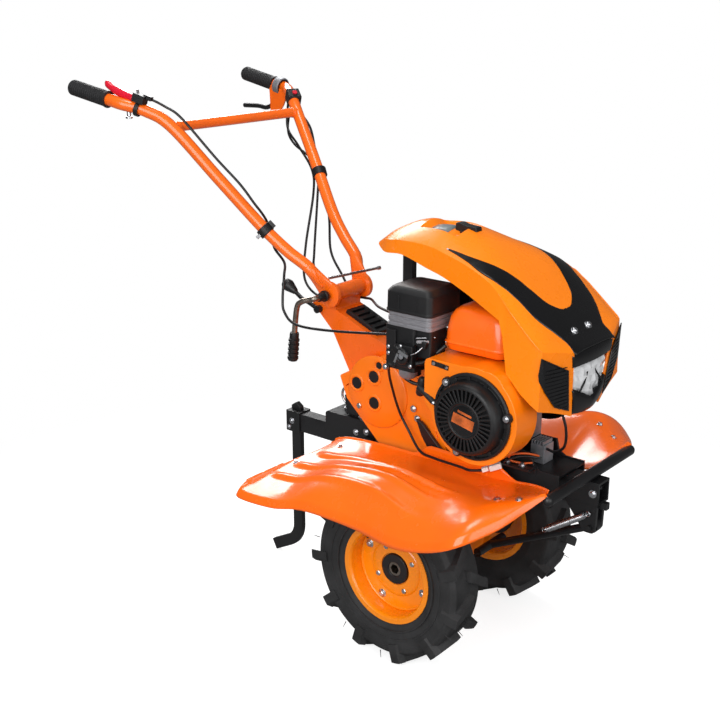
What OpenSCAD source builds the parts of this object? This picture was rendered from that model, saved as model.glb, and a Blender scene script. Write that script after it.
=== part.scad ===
// Walk-behind power tiller with a petrol engine, two lugged drive wheels and an adjustable handlebar.
// X points forwards, Y to the operator's left and Z up, in millimetres. The ground is Z = 0.

/* [Wheels] */
// Outside diameter of a tyre over its lugs
tyre_d = 410; // [390:2:430]
// Section width of a tyre
tyre_w = 108; // [96:2:116]
// Height of the tread lugs
lug_h = 15; // [10:1:20]
// Lugs on each half of a tread
lug_count = 11; // [8:1:14]
// Distance between the tyres' centre planes
track = 392; // [380:2:430]
// Diameter over a rim's flanges
rim_d = 231; // [220:1:240]
// Width over a rim's flanges
rim_w = 84; // [74:1:90]
// Sheet thickness of the rims
rim_t = 3; // [2:0.5:4]
// Outside diameter of a wheel hub
hub_d = 70; // [60:1:80]
// Diameter of the through axle
axle_d = 32; // [26:1:36]
// Width across flats of the hexagon sockets in the axle's ends
socket_af = 20; // [14:0.5:22]
// Depth of the sockets in the axle's ends
socket_depth = 40; // [25:1:60]

/* [Gearbox] */
// Width of the gearbox's upper case
case_w = 140; // [130:2:150]
// Width of the gearbox's leg, down to the axle
leg_w = 92; // [80:2:100]
// Radius of the bearing housings round the axle
bearing_r = 62; // [50:1:68]
// Bearing plugs' radius in the case's side
plug_r = 14; // [10:1:17]
// Width of the handle column
column_w = 90; // [70:2:100]

/* [Engine] */
// Height of the engine's base above the axle
engine_rise = 292; // [288:2:300]
// Distance of the crankshaft in front of the axle
crank_x = 183; // [176:1:190]
// Height of the crankshaft above the engine's base
crank_rise = 106; // [100:1:110]
// Radius of the recoil starter's flange
recoil_r = 92; // [84:1:96]
// Number of slots in the recoil starter
recoil_slots = 32; // [20:1:36]
// Length of the air filter, front to back
filter_l = 116; // [100:2:124]
// Width of the air filter
filter_w = 112; // [100:2:120]
// Height of the fuel tank
tank_h = 94; // [80:2:100]
// Width of the fuel tank
tank_w = 192; // [170:2:196]

/* [Hood] */
// Sheet thickness of the hood
hood_t = 4; // [3:0.5:5]
// Half width of the hood over its front corners
hood_half_w = 165; // [160:1:170]
// Height of the hood's crest above the engine's base
hood_crest = 455; // [450:1:465]
// Half width of the nose panel
nose_half_w = 78; // [70:1:84]

/* [Fenders] */
// Sheet thickness of the fenders
fender_t = 2.5; // [2:0.5:4]
// Half width over the fenders' outer edges
fender_half_w = 342; // [330:2:360]
// Distance of the fenders' inner edges from the middle
fender_gap = 92; // [88:1:100]
// Clearance from a tyre's top to the fender above it
fender_clear = 36; // [30:1:44]

/* [Handlebar] */
// Diameter of the handlebar tubes
tube_d = 30; // [26:1:36]
// Half width over the grips' middle lines
grip_half_w = 288; // [270:2:310]
// Length of a grip
grip_l = 122; // [100:2:130]
// Outside diameter of a grip
grip_d = 40; // [38:1:44]
// Distance of the tilt pivot behind the axle
pivot_back = 309; // [303:1:315]
// Height of the tilt pivot above the axle
pivot_rise = 544; // [538:1:550]
// Radius of the tilt discs
disc_r = 33; // [28:1:38]
// Diameter of the clamp rod through the tilt discs
rod_d = 16; // [12:1:18]

/* [Front and rear] */
// Width of the front tube
front_tube_w = 46; // [40:1:56]
// Height of the front tube
front_tube_h = 50; // [44:1:56]
// Wall of the front tube
front_tube_t = 5; // [3:0.5:6]
// Length of the stand's leg
stand_l = 284; // [270:2:300]
// Diameter of the stand's leg
stand_d = 20; // [16:1:24]
// Width of the depth stake, front to back
stake_w = 30; // [26:1:36]
// Thickness of the depth stake
stake_t = 14; // [10:1:18]
// Distance of the depth stake behind the axle
stake_back = 470; // [460:2:480]

/* [Hidden] */
$fn = 64;

// Clearances
run_clear = 0.05;
seat_clear = 0.3;
swing_clear = 6;

// Main points
axle_z = tyre_d / 2;
engine_z = axle_z + engine_rise;
crank_z = engine_z + crank_rise;
pivot = [-pivot_back, axle_z + pivot_rise];
grip_end = [-912, axle_z + 996];
front_x = 400;
middle_x = (front_x + grip_end[0]) / 2;

// Vector and path helpers
function unit(v) = v / norm(v);
function mix(a, b, t) = a + (b - a) * t;
function smooth(t) = t * t * (3 - 2 * t);
function clamp(t) = max(0, min(1, t));

// A Catmull-Rom curve through hand-placed points, with a number of steps between each two
function spline_point(a, b, c, d, t) =
    0.5 * (2 * b + (c - a) * t + (2 * a - 5 * b + 4 * c - d) * t * t + (3 * b - a - 3 * c + d) * t * t * t);
function spline(p, steps) = let (last = len(p) - 1) concat(
    [for (i = [0 : last - 1], k = [0 : steps - 1])
        spline_point(p[max(i - 1, 0)], p[i], p[i + 1], p[min(i + 2, last)], k / steps)],
    [p[last]]);

// Tangents along a path, and normals that are carried along it without twist
function tangents(p) = [for (i = [0 : len(p) - 1]) unit(p[min(i + 1, len(p) - 1)] - p[max(i - 1, 0)])];
function carried(n, t) = unit(n - t * (n * t));
function normals(t, first) = [for (i = 0, n = carried(first, t[0]); i < len(t);
    i = i + 1, n = i < len(t) ? carried(n, t[i]) : n) n];

// A round rod swept along a path
module swept_rod(path, r, sides, first = [0, 1, 0.2]) {
    t = tangents(path);
    n = normals(t, first);
    count = len(path);
    rings = [for (i = [0 : count - 1], k = [0 : sides - 1])
        path[i] + r * (cos(360 * k / sides) * n[i] + sin(360 * k / sides) * cross(t[i], n[i]))];
    walls = [for (i = [0 : count - 2], k = [0 : sides - 1])
        [i * sides + k, (i + 1) * sides + k, (i + 1) * sides + (k + 1) % sides,
            i * sides + (k + 1) % sides]];
    caps = [[for (k = [0 : sides - 1]) k], [for (k = [sides - 1 : -1 : 0]) (count - 1) * sides + k]];
    polyhedron(points = rings, faces = concat(walls, caps), convexity = 6);
}

// A closed sheet between two grids of points, each rows by columns
module sheet(outer, inner) {
    rows = len(outer);
    cols = len(outer[0]);
    points = concat([for (row = outer, p = row) p], [for (row = inner, p = row) p]);
    far = rows * cols;
    function at(i, k) = i * cols + k;
    skins = [for (i = [0 : rows - 2], k = [0 : cols - 2]) each [
        [at(i, k), at(i, k + 1), at(i + 1, k + 1)], [at(i, k), at(i + 1, k + 1), at(i + 1, k)],
        [far + at(i, k), far + at(i + 1, k + 1), far + at(i, k + 1)],
        [far + at(i, k), far + at(i + 1, k), far + at(i + 1, k + 1)]]];
    edges = concat(
        [for (k = [0 : cols - 2]) each [
            [at(0, k + 1), at(0, k), far + at(0, k)], [at(0, k + 1), far + at(0, k), far + at(0, k + 1)],
            [at(rows - 1, k), at(rows - 1, k + 1), far + at(rows - 1, k + 1)],
            [at(rows - 1, k), far + at(rows - 1, k + 1), far + at(rows - 1, k)]]],
        [for (i = [0 : rows - 2]) each [
            [at(i, 0), at(i + 1, 0), far + at(i + 1, 0)], [at(i, 0), far + at(i + 1, 0), far + at(i, 0)],
            [at(i + 1, cols - 1), at(i, cols - 1), far + at(i, cols - 1)],
            [at(i + 1, cols - 1), far + at(i, cols - 1), far + at(i + 1, cols - 1)]]]);
    polyhedron(points = points, faces = concat(skins, edges), convexity = 6);
}

// Outline with its corners rounded to one radius each
function fillet(a, b, c, r, steps = 5) = let (
    u = unit(a - b), w = unit(c - b),
    half = acos(max(-1, min(1, u * w))) / 2,
    reach = r / tan(half),
    centre = b + unit(u + w) * r / sin(half),
    p = b + u * reach - centre,
    q = b + w * reach - centre,
    start = atan2(p[1], p[0]),
    turn = (atan2(q[1], q[0]) - start + 540) % 360 - 180)
    r <= 0 ? [b] : [for (k = [0 : steps]) centre + r * [cos(start + turn * k / steps),
        sin(start + turn * k / steps)]];
function rounded(p, r) = let (n = len(p))
    [for (i = [0 : n - 1]) each fillet(p[(i + n - 1) % n], p[i], p[(i + 1) % n], is_list(r) ? r[i] : r)];

// A side-view outline as a plate between two Y positions
module side_plate(outline, y_low, y_high) {
    translate([0, y_high, 0]) rotate([90, 0, 0]) linear_extrude(y_high - y_low) polygon(outline);
}

// A cylinder along Y between two Y positions, at a side-view point
module cross_rod(at, r, y_low, y_high) {
    translate([at[0], y_high, at[1]]) rotate([90, 0, 0]) cylinder(r = r, h = y_high - y_low);
}

// A box with its vertical edges rounded
module rounded_box(low, high, r) {
    translate([0, 0, low[2]]) linear_extrude(high[2] - low[2])
        polygon(rounded([[low[0], low[1]], [high[0], low[1]], [high[0], high[1]], [low[0], high[1]]], r));
}

// The part's frame: its origin lies on the ground under the middle of its length
module framed() {
    translate([-middle_x, 0, 0]) children();
}

// Wheels

// The left wheel's place; the right wheel is its mirror image
module wheel_place(side) {
    framed() translate([0, 0, axle_z]) mirror([0, side < 0 ? 1 : 0, 0]) translate([0, track / 2, 0])
        children();
}
module about_axle() {
    rotate([-90, 0, 0]) children();
}

seat_r = rim_d / 2 - 13;
carcass_r = axle_z - lug_h;
bead_r = seat_r + seat_clear;
lug_w = 26;
lug_slant = 34;

// Half section of the tyre: outer skin from bead to bead, then the inner skin back
wall_half = tyre_w / 2 - 5;
function tyre_section() = let (
    h = wall_half, bead_y = rim_w / 2 - rim_t - seat_clear, wall = 11)
    rounded([[bead_r, bead_y], [bead_r + 16, bead_y], [bead_r + 34, h - 2], [carcass_r - 10, h],
        [carcass_r - 1, h - 8], [carcass_r, 0], [carcass_r - 1, 8 - h], [carcass_r - 10, -h],
        [bead_r + 34, 2 - h], [bead_r + 16, -bead_y], [bead_r, -bead_y], [bead_r, wall - bead_y],
        [bead_r + 30, 4 + wall - h], [carcass_r - 22, wall - h + 2], [carcass_r - wall - 2, 0],
        [carcass_r - 22, h - wall - 2], [bead_r + 30, h - wall - 4], [bead_r, bead_y - wall]],
        [2, 10, 14, 6, 5, 60, 5, 6, 14, 10, 2, 2, 8, 6, 30, 6, 8, 2]);

// A slanting lug, with a shoulder that runs down over the tyre's wall
module tread_lug(side) {
    reach = tyre_w / 2 - 1;
    top = sqrt(axle_z * axle_z - lug_w * lug_w / 4) - 0.2;
    outline = [[-lug_w / 2, -4], [lug_w / 2, -4], [lug_w / 2 + lug_slant, reach],
        [lug_slant - lug_w / 3, reach]];
    shoulder = [[lug_slant * 0.72 - lug_w * 0.36, wall_half - 7],
        [lug_slant * 0.72 + lug_w / 2, wall_half - 7],
        [lug_w / 2 + lug_slant, reach], [lug_slant - lug_w / 3, reach]];
    rotate([0, side < 0 ? 180 / lug_count : 0, 0])
        mirror([0, side < 0 ? 1 : 0, 0]) translate([-lug_slant / 2, 0, 0]) {
            translate([0, 0, carcass_r - 12]) linear_extrude(top - carcass_r + 12) polygon(outline);
            translate([0, 0, carcass_r - 30]) linear_extrude(top - carcass_r + 30) polygon(shoulder);
        }
}
module tyre(side) {
    color("#26272a") wheel_place(side) {
        about_axle() rotate_extrude() polygon(tyre_section());
        intersection() {
            about_axle() cylinder(r = axle_z, h = tyre_w, center = true);
            union() {
                for (half = [-1, 1], k = [0 : lug_count - 1])
                    rotate([0, 360 * k / lug_count, 0]) tread_lug(half);
            }
        }
    }
}

// A pressed rim: two flanges, a barrel and a disc in its middle plane
function rim_section() = let (
    lip = rim_d / 2, h = rim_w / 2, t = rim_t, disc = rim_t)
    [[lip, h], [lip, h - t], [seat_r, h - t], [seat_r, t - h], [lip, t - h], [lip, -h], [seat_r + 1, -h],
        [seat_r - t, t + 2 - h], [seat_r - t, -disc], [hub_d / 2 + seat_clear, -disc],
            [hub_d / 2 + seat_clear, disc],
        [seat_r - t, disc], [seat_r - t, h - t - 2], [seat_r + 1, h]];
module rim(side) {
    color("#ff8a1f") wheel_place(side) about_axle() rotate_extrude() polygon(rim_section());
}

// A hub tube that turns on the axle, with the flange that the rim's disc is bolted to
hub_out = 10;
hub_in = 62;
hub_flange_r = 58;
hub_flange_t = 7;
module hub(side) {
    color("#2b2b2d") wheel_place(side) difference() {
        union() {
            cross_rod([0, 0], hub_d / 2, -hub_in, hub_out);
            cross_rod([0, 0], hub_flange_r, -rim_t - seat_clear - hub_flange_t, -rim_t - seat_clear);
        }
        cross_rod([0, 0], axle_d / 2 + run_clear, -hub_in - 1, hub_out + 1);
    }
}

// The through axle that both hubs turn on, with a socket in each end
module axle() {
    half = track / 2 + hub_out - 2;
    color("#3a3a3c") framed() difference() {
        cross_rod([0, axle_z], axle_d / 2, -half, half);
        for (s = [-1, 1])
            translate([0, s * half, axle_z]) rotate([s * 90, 0, 0]) translate([0, 0, -1])
                linear_extrude(socket_depth + 1)
                    polygon([for (k = [0 : 5]) socket_af / sqrt(3) * [cos(60 * k), sin(60 * k)]]);
    }
}

// Gearbox

function above_axle(p) = [for (q = p) [q[0], q[1] + axle_z]];
case_outline = rounded(above_axle([[-270, 359], [-109, 452], [-40, 440], [26, 330],
    [40, 215], [-150, 215], [-249, 307]]), [5, 18, 40, 50, 30, 30, 14]);
leg_outline = rounded(above_axle([[-135, 225], [62, 225], [bearing_r - 2, -bearing_r + 20],
    [-bearing_r + 8, -bearing_r + 20]]), [20, 20, 18, 18]);
plugs = [[-215, 353, plug_r], [-165, 378, plug_r], [-150, 408, plug_r - 6], [-164, 315, plug_r]];
module gearbox() {
    color("#f6701c") framed() difference() {
        union() {
            side_plate(case_outline, -case_w / 2, case_w / 2);
            side_plate(leg_outline, -leg_w / 2, leg_w / 2);
            cross_rod([0, axle_z], bearing_r, -leg_w / 2 - 12, leg_w / 2 + 12);
            for (p = plugs) cross_rod([p[0], p[1] + axle_z], p[2] + 7, -case_w / 2 - 5, case_w / 2);
        }
        cross_rod([0, axle_z], axle_d / 2 + run_clear, -case_w, case_w);
        for (p = plugs) cross_rod([p[0], p[1] + axle_z], p[2], -case_w, -case_w / 2 + 4);
    }
}
module gearbox_plugs() {
    color("#3b3d40") framed() for (p = plugs)
        cross_rod([p[0], p[1] + axle_z], p[2] - seat_clear / 2, -case_w / 2 - 6, -case_w / 2 + 4);
}

// The handle column rises from the case's sloping top to the pivot tube
pivot_r = 19;
disc_gap = 118;
gate_low = [-186, 458];
gate_high = [-290, 501];
column_outline = rounded(above_axle([[-262, 364], [-130, 440], gate_low, gate_high, [-303, 506],
    [-303, pivot_rise - 8],
    [-328, pivot_rise - 6], [-352, 522], [-382, 518], [-312, 452]]), [0, 0, 8, 2, 3, 0, 0, 10, 6, 40]);
column_t = 5;
column_hollow = above_axle([[-254, 350], [-140, 420], [-190, 453], [-288, 494], [-330, 506], [-364, 509],
    [-302, 448]]);
module handle_column() {
    color("#f4661a") framed() difference() {
        union() {
            difference() {
                side_plate(column_outline, -column_w / 2, column_w / 2);
                side_plate(column_hollow, column_t - column_w / 2, column_w / 2 - column_t);
                side_plate(case_outline, -case_w, case_w);
            }
            cross_rod(pivot, pivot_r, -disc_gap / 2, disc_gap / 2);
        }
        cross_rod(pivot, rod_d / 2 + run_clear, -disc_gap, disc_gap);
    }
}

// A slotted plate for the gear lever, on the column's sloping face
module shift_gate() {
    along = gate_low - gate_high;
    mid = (gate_low + gate_high) / 2;
    color("#202123") framed() translate([mid[0], 0, axle_z + mid[1]])
        rotate([0, -atan2(along[1], along[0]), 0])
        translate([0, 0, seat_clear]) difference() {
            translate([-50, -32, 0]) cube([100, 64, 9]);
            for (k = [-2 : 2]) translate([k * 18 - 4, -24, 3]) cube([8, 48, 7]);
        }
}
knob = [-436, -40, axle_z + 528];
module gear_lever() {
    color("#2a2a2c") framed() {
        swept_rod(spline([[-352, -column_w / 2 - 8, axle_z + 500],
            [-374, -column_w / 2 - 9, axle_z + 510],
            [-404, -50, axle_z + 517], knob], 4), 5, 10);
        translate(knob) rotate([0, -62, 0]) rotate_extrude()
            polygon(rounded([[0, -4], [7, -4], [15, 22], [12, 36], [0, 40]], [0, 2, 10, 8, 0]));
        cross_rod([-352, axle_z + 500], 9, -column_w / 2 - 13, -column_w / 2);
    }
}

// The clamp rod through the tilt discs, with its cranked lever and ribbed handle
disc_t = 13;
rod_out = 42;
module clamp_lever() {
    near = -disc_gap / 2 - disc_t - rod_out;
    color("#5a5148") framed() {
        cross_rod(pivot, rod_d / 2, near, disc_gap / 2 + disc_t + 12);
        swept_rod(spline([[pivot[0], near + 7, pivot[1]], [pivot[0] - 12, near + 1, pivot[1] - 3],
            [pivot[0] - 34, near - 5, pivot[1] - 11], [pivot[0] - 46, near - 8, pivot[1] - 28],
            [pivot[0] - 53, near - 10, pivot[1] - 92]], 4), 6.5, 12);
        translate([pivot[0] - 60, near - 10, pivot[1] - 156]) rotate([0, 6, 0]) {
            cylinder(r = 11, h = 70);
            for (k = [0 : 4]) translate([0, 0, 4 + k * 11]) cylinder(r = 13, h = 7);
        }
    }
}

// Front frame

rail_w = 110;
rail_t = 5;
rail_low = engine_z - 72;
web_z = engine_z - 42;
frame_end = 312;
module front_frame() {
    color("#232427") framed() difference() {
        translate([30, -rail_w / 2, rail_low]) cube([frame_end - 30, rail_w, engine_z - rail_low]);
        translate([29, rail_t - rail_w / 2, rail_low - 1])
            cube([frame_end - 28, rail_w - 2 * rail_t, web_z - rail_low + 1]);
        translate([29, rail_t - rail_w / 2, web_z + rail_t])
            cube([frame_end - 28, rail_w - 2 * rail_t, engine_z]);
        side_plate(case_outline, -case_w, case_w);
    }
}

// The front tube under the rails, open at its front end, with the stand's hanger
front_tube_top = web_z - seat_clear;
front_tube_low = front_tube_top - front_tube_h;
hanger_x = 362;
stand_pivot = [hanger_x + 8, front_tube_low - 56];
hanger_w = 36;
front_pin_r = 6.5;
tube_end = front_x - 12;
front_pin = [tube_end - 13, front_tube_top - front_tube_h / 2];
module front_tube() {
    w = front_tube_w;
    t = front_tube_t;
    color("#1f2022") framed() difference() {
        union() {
            translate([64, -w / 2, front_tube_low]) cube([tube_end - 64, w, front_tube_h]);
            translate([tube_end - 30, -7, front_tube_low - 12]) cube([front_x - tube_end + 30, 14, 15]);
            for (s = [-1, 1]) translate([0, s * (hanger_w / 2 - 4), 0])
                side_plate(rounded([[hanger_x - 60, front_tube_low + 1],
                    [hanger_x + 22, front_tube_low + 1],
                    [hanger_x + 20, stand_pivot[1] - 12], [hanger_x - 6, stand_pivot[1] - 12]],
                        [0, 0, 10, 10]), -4, 4);
        }
        translate([0, t - w / 2, front_tube_low + t])
            cube([tube_end + 1, w - 2 * t, front_tube_h - 2 * t]);
        cross_rod(stand_pivot, 6 + run_clear, -w, w);
        cross_rod(front_pin, front_pin_r, -w, w);
    }
}

// The cross bar that carries the fenders' front corners, swept back and up on both sides
bar_r = 12;
bar_x = 362;
bar_z = front_tube_top + bar_r + seat_clear;
bar_end = [356, 172, engine_z - 35.3];
module fender_bar() {
    color("#1b1c1e") framed() {
        swept_rod([for (s = [-1, 1], k = [0, 1]) (k == 0) == (s < 0) ? [bar_end[0], s * bar_end[1],
            bar_end[2]] :
            [bar_x, s * 60, bar_z]], bar_r, 24, [0, 0, 1]);
        for (s = [-1, 1]) translate([bar_end[0], s * bar_end[1], bar_end[2]])
            sphere(r = bar_r - 0.7, $fn = 32);
    }
}

// Engine

// Crankcase with the inclined, finned cylinder that points back and up
shroud_y = -112;
shroud_d = 78;
head_angle = 25;
fin_y = -72;
fin_w = 132;
module engine_block() {
    color("#4a4c4f") framed() translate([crank_x, 0, crank_z]) difference() {
        union() {
            side_plate(rounded([[-95, -crank_rise], [58, -crank_rise], [58, 20], [36, 70], [-60, 70],
                [-95, 30]],
                [6, 6, 20, 20, 20, 10]), shroud_y + seat_clear, 56);
            rotate([0, head_angle, 0]) {
                translate([-168, -62, -42]) cube([120, 112, 84]);
                for (k = [0 : 6]) translate([-144 + k * 12, fin_y, -52]) cube([5, fin_w, 103.6]);
            }
            cross_rod([0, 0], 12, 48, 84);
        }
    }
}
shroud_r = recoil_r + 12;
shroud_outline = rounded([[-122, 6], [-122, 101], [58, 101], [88, 40], [40, -40], [-60, -60]],
    [14, 12, 40, 10, 10, 10]);
shroud_t = 3;
shroud_hollow = rounded([[-119, 12], [-119, 98], [54, 98], [80, 40], [40, -40], [-60, -50]],
    [12, 9, 36, 10, 10, 10]);
module fan_shroud() {
    color("#fb7a1c") framed() translate([crank_x, 0, crank_z]) difference() {
        union() {
            side_plate(shroud_outline, shroud_y - shroud_d, shroud_y);
            cross_rod([0, 0], shroud_r, shroud_y - shroud_d, shroud_y);
        }
        side_plate(shroud_hollow, shroud_y - shroud_d + shroud_t, shroud_y + 1);
        cross_rod([0, 0], shroud_r - shroud_t, shroud_y - shroud_d + shroud_t, shroud_y + 1);
        cross_rod([0, 0], recoil_r - 8, shroud_y - shroud_d - 1, shroud_y - shroud_d + 12);
    }
}
dome_r = 74;
dome_h = 33;
module recoil_starter() {
    y = shroud_y - shroud_d - seat_clear;
    color("#2a2b2d") framed() translate([crank_x, y, crank_z]) rotate([90, 0, 0]) difference() {
        union() {
            cylinder(r = recoil_r, h = 8);
            cylinder(r1 = dome_r + 8, r2 = dome_r, h = dome_h);
        }
        for (k = [0 : recoil_slots - 1]) rotate(360 * k / recoil_slots)
            translate([dome_r * 0.56, -2.2, dome_h - 7]) cube([dome_r * 0.34, 4.4, 8]);
        translate([0, 0, dome_h - 2]) cylinder(r = dome_r * 0.46, h = 3);
    }
}
module starter_handle() {
    color("#2c2d30") framed() translate([crank_x - 122 - seat_clear, shroud_y - shroud_d + 20,
        crank_z + 52]) rotate([0, -90, 0]) {
        cylinder(r = 8, h = 12);
        translate([0, 0, 18]) rotate([90, 0, 20]) cylinder(r = 10, h = 46, center = true);
    }
}

// Where the air filter's rear right corner stands
filter_x = -54;
filter_y = -172;
filter_z = engine_z + 254;

// Fuel tank over the crankcase, in two pressed halves with a seam
tank_z = engine_z + 214;
tank_x = [filter_x + filter_l + 4, 222];
tank_y = -142;
module fuel_tank() {
    y1 = tank_y + tank_w;
    color("#ff6f24") framed() {
        rounded_box([tank_x[0] + 6, tank_y + 6, tank_z], [tank_x[1] - 6, y1 - 6, tank_z + 30], 20);
        rounded_box([tank_x[0], tank_y, tank_z + 30], [tank_x[1], y1, tank_z + 34], 24);
        rounded_box([tank_x[0] + 4, tank_y + 4, tank_z + 34], [tank_x[1] - 4, y1 - 4, tank_z + tank_h],
            22);
    }
}
cap_at = [92, -30];
module fuel_cap() {
    color("#1d1e20") framed() translate([cap_at[0], cap_at[1], tank_z + tank_h]) {
        cylinder(r = 22, h = 8);
        translate([0, 0, 8]) cylinder(r = 29, h = 18);
    }
}

// Air filter: cover, metal band and the carburettor's housing below it
band_h = 30;
cover_h = 58;
module filter_cover() {
    color("#1e1f21") framed() {
        rounded_box([filter_x - 2, filter_y - 2, filter_z + band_h],
            [filter_x + filter_l, filter_y + filter_w, filter_z + band_h + cover_h - 14], 14);
        rounded_box([filter_x + 8, filter_y + 8, filter_z + band_h + cover_h - 14],
            [filter_x + filter_l - 10, filter_y + filter_w - 10, filter_z + band_h + cover_h], 18);
    }
}
module filter_band() {
    color("#b9bcc0") framed()
        rounded_box([filter_x, filter_y, filter_z],
            [filter_x + filter_l - 2, filter_y + filter_w - 2, filter_z + band_h], 12);
}
module carburettor_box() {
    low = engine_z + 158;
    color("#1b1c1f") framed() {
        rounded_box([filter_x - 4, filter_y + 2, low], [filter_x + 74, filter_y + 70, filter_z], 6);
        rounded_box([filter_x + 70, filter_y + 8, low + 36], [filter_x + 111, filter_y + 64, filter_z],
            5);
        cross_rod([filter_x + 56, low + 32], 16, filter_y + 68, fin_y - seat_clear);
        translate([filter_x + 40, filter_y + 40, low - 18]) cylinder(r = 20, h = 18);
    }
}
module muffler() {
    color("#2f3033") framed() {
        y0 = fin_y + fin_w + seat_clear;
        difference() {
            rounded_box([-50, y0, engine_z + 178], [78, y0 + 84, engine_z + 290], 20);
            translate([-44, y0 - 1, engine_z + 184]) cube([116, 64, 100]);
        }
        translate([-20, y0 + 76, engine_z + 214]) rotate([-90, 0, 0]) cylinder(r = 12, h = 26);
        cross_rod([52, engine_z + 200], 14, y0, y0 + 66);
    }
}

// Guard over the drive belt on the left side
input_at = [-112, axle_z + 352];
module belt_guard() {
    y0 = case_w / 2 + seat_clear;
    y1 = y0 + 58;
    color("#1d1e20") framed() {
        difference() {
            hull() {
                cross_rod([crank_x, crank_z], 84, y0 + 16, y1, $fn = 48);
                cross_rod(input_at, 70, y0 + 16, y1, $fn = 48);
            }
            hull() {
                cross_rod([crank_x, crank_z], 80, y0 + 15, y1 - 4, $fn = 48);
                cross_rod(input_at, 66, y0 + 15, y1 - 4, $fn = 48);
            }
        }
        cross_rod(input_at, 40, y0, y1 - 3);
    }
}

// Hood

// Stations from the rear beak to the front opening: X, half width, and heights above the engine's base
// of the
// crest, the crease and the lower edge
hood_stations = let (w = hood_half_w, c = hood_crest) [
    [-204, 10, c - 71, c - 73, c - 77],
    [-178, 34, c - 53, c - 62, c - 79],
    [-145, 58, c - 32, c - 52, c - 80],
    [-80, w - 81, c - 6, c - 42, c - 72],
    [-4, w - 63, c + 1, c - 40, c - 86],
    [50, w - 51, c - 11, c - 48, c - 96],
    [116, w - 37, c - 33, c - 62, c - 116],
    [177, w - 21, c - 62, c - 82, c - 137],
    [213, w - 12, c - 86, c - 104, c - 150],
    [225, w - 9, c - 97, c - 115, c - 183],
    [239, w - 5, c - 109, c - 127, c - 254],
    [275, w - 2, c - 144, c - 159, c - 288],
    [300, w - 1, c - 168, c - 181, c - 305],
    [326, w - 3, c - 195, c - 203, c - 321],
    [344, nose_half_w + 6, c - 205, c - 210, c - 344]];

// Arch of one station: up the right side, over the crown and down the left side, set in by t. The crown
// gets
// flatter towards the front.
function arch(s, t) = let (
    w = s[1] - t, top = engine_z + s[2] - t, crease = engine_z + s[3] - t * 0.8, low = engine_z + s[4],
    tuck = min(6, w * 0.2),
    power = mix(2.6, 5.5, clamp((s[0] - 50) / 200)),
    right = concat(
        [for (k = [0 : 2]) [s[0], -w + tuck * smooth(k / 3), mix(low, crease, k / 3)]],
        [for (k = [0 : 6]) let (f = 1 - k / 6.5)
            [s[0], -(w - tuck) * sin(90 * f), mix(top, crease, pow(sin(90 * f), power))]]))
    concat(right, [[s[0], 0, top]], [for (k = [len(right) - 1 : -1 : 0]) [right[k][0], -right[k][1],
        right[k][2]]]);
module hood() {
    color("#ff8c1c") framed() sheet(
        [for (s = hood_stations) arch(s, 0)],
        [for (s = hood_stations) arch(s, hood_t)]);
}

// Black nose panel in the hood's front opening, with the lamp's recess
nose_x = 332;
lamp_low = hood_crest - 296;
lamp_h = 52;
lamp_half_w = nose_half_w - 14;
module hood_nose() {
    mouth = [for (q = arch(hood_stations[len(hood_stations) - 1], hood_t + seat_clear)) [q[1], q[2]]];
    color("#17181a") framed() difference() {
        translate([nose_x, 0, 0]) rotate([90, 0, 90]) linear_extrude(16) polygon(mouth);
        translate([nose_x + 4, -lamp_half_w, engine_z + lamp_low]) cube([20, 2 * lamp_half_w, lamp_h]);
    }
}
module headlight() {
    w = lamp_half_w - seat_clear;
    low = engine_z + lamp_low + seat_clear;
    h = lamp_h - 2 * seat_clear;
    color("#dfe3e6") framed() hull() {
        translate([nose_x + 4 + seat_clear, -w, low]) cube([10, 2 * w, h]);
        translate([nose_x + 6, -w + 12, low + 8]) cube([16, 2 * w - 24, h - 16]);
    }
}

// Dark vents on the hood's front faces, either side of the nose
function vent_point(f, h, lift) = let (
    a = arch(hood_stations[len(hood_stations) - 2], 0),
        b = arch(hood_stations[len(hood_stations) - 1], 0),
    k = min(2, floor(h * 3)), g = h * 3 - k)
    mix(mix(a[k], a[k + 1], g), mix(b[k], b[k + 1], g), f) + [lift, 0, 0];
vent_rows = [[0.16, 0.36, 0.86], [0.5, 0.16, 0.9], [0.82, 0.16, 0.92]];
module hood_vents() {
    color("#121315") framed() for (s = [0, 1]) mirror([0, s, 0]) sheet(
        [for (r = vent_rows) [for (k = [0 : 3]) vent_point(r[0], mix(r[1], r[2], k / 3), 2.4)]],
        [for (r = vent_rows) [for (k = [0 : 3]) vent_point(r[0], mix(r[1], r[2], k / 3), 0.5)]]);
}
post_x = -123;
module hood_post() {
    crest = [for (q = hood_stations) [q[0], q[2]]];
    rear = engine_z + lookup(post_x - 13, crest) - hood_t - seat_clear;
    front = engine_z + lookup(post_x + 13, crest) - hood_t - seat_clear;
    foot = axle_z + 430;
    color("#2a2a2d") framed() difference() {
        side_plate([[post_x - 13, foot], [post_x + 13, foot], [post_x + 13, front - 1.5],
            [post_x - 13, rear - 0.5]], -8, 8);
        side_plate(case_outline, -case_w, case_w);
        side_plate(column_outline, -case_w, case_w);
    }
}

// Fenders

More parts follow.
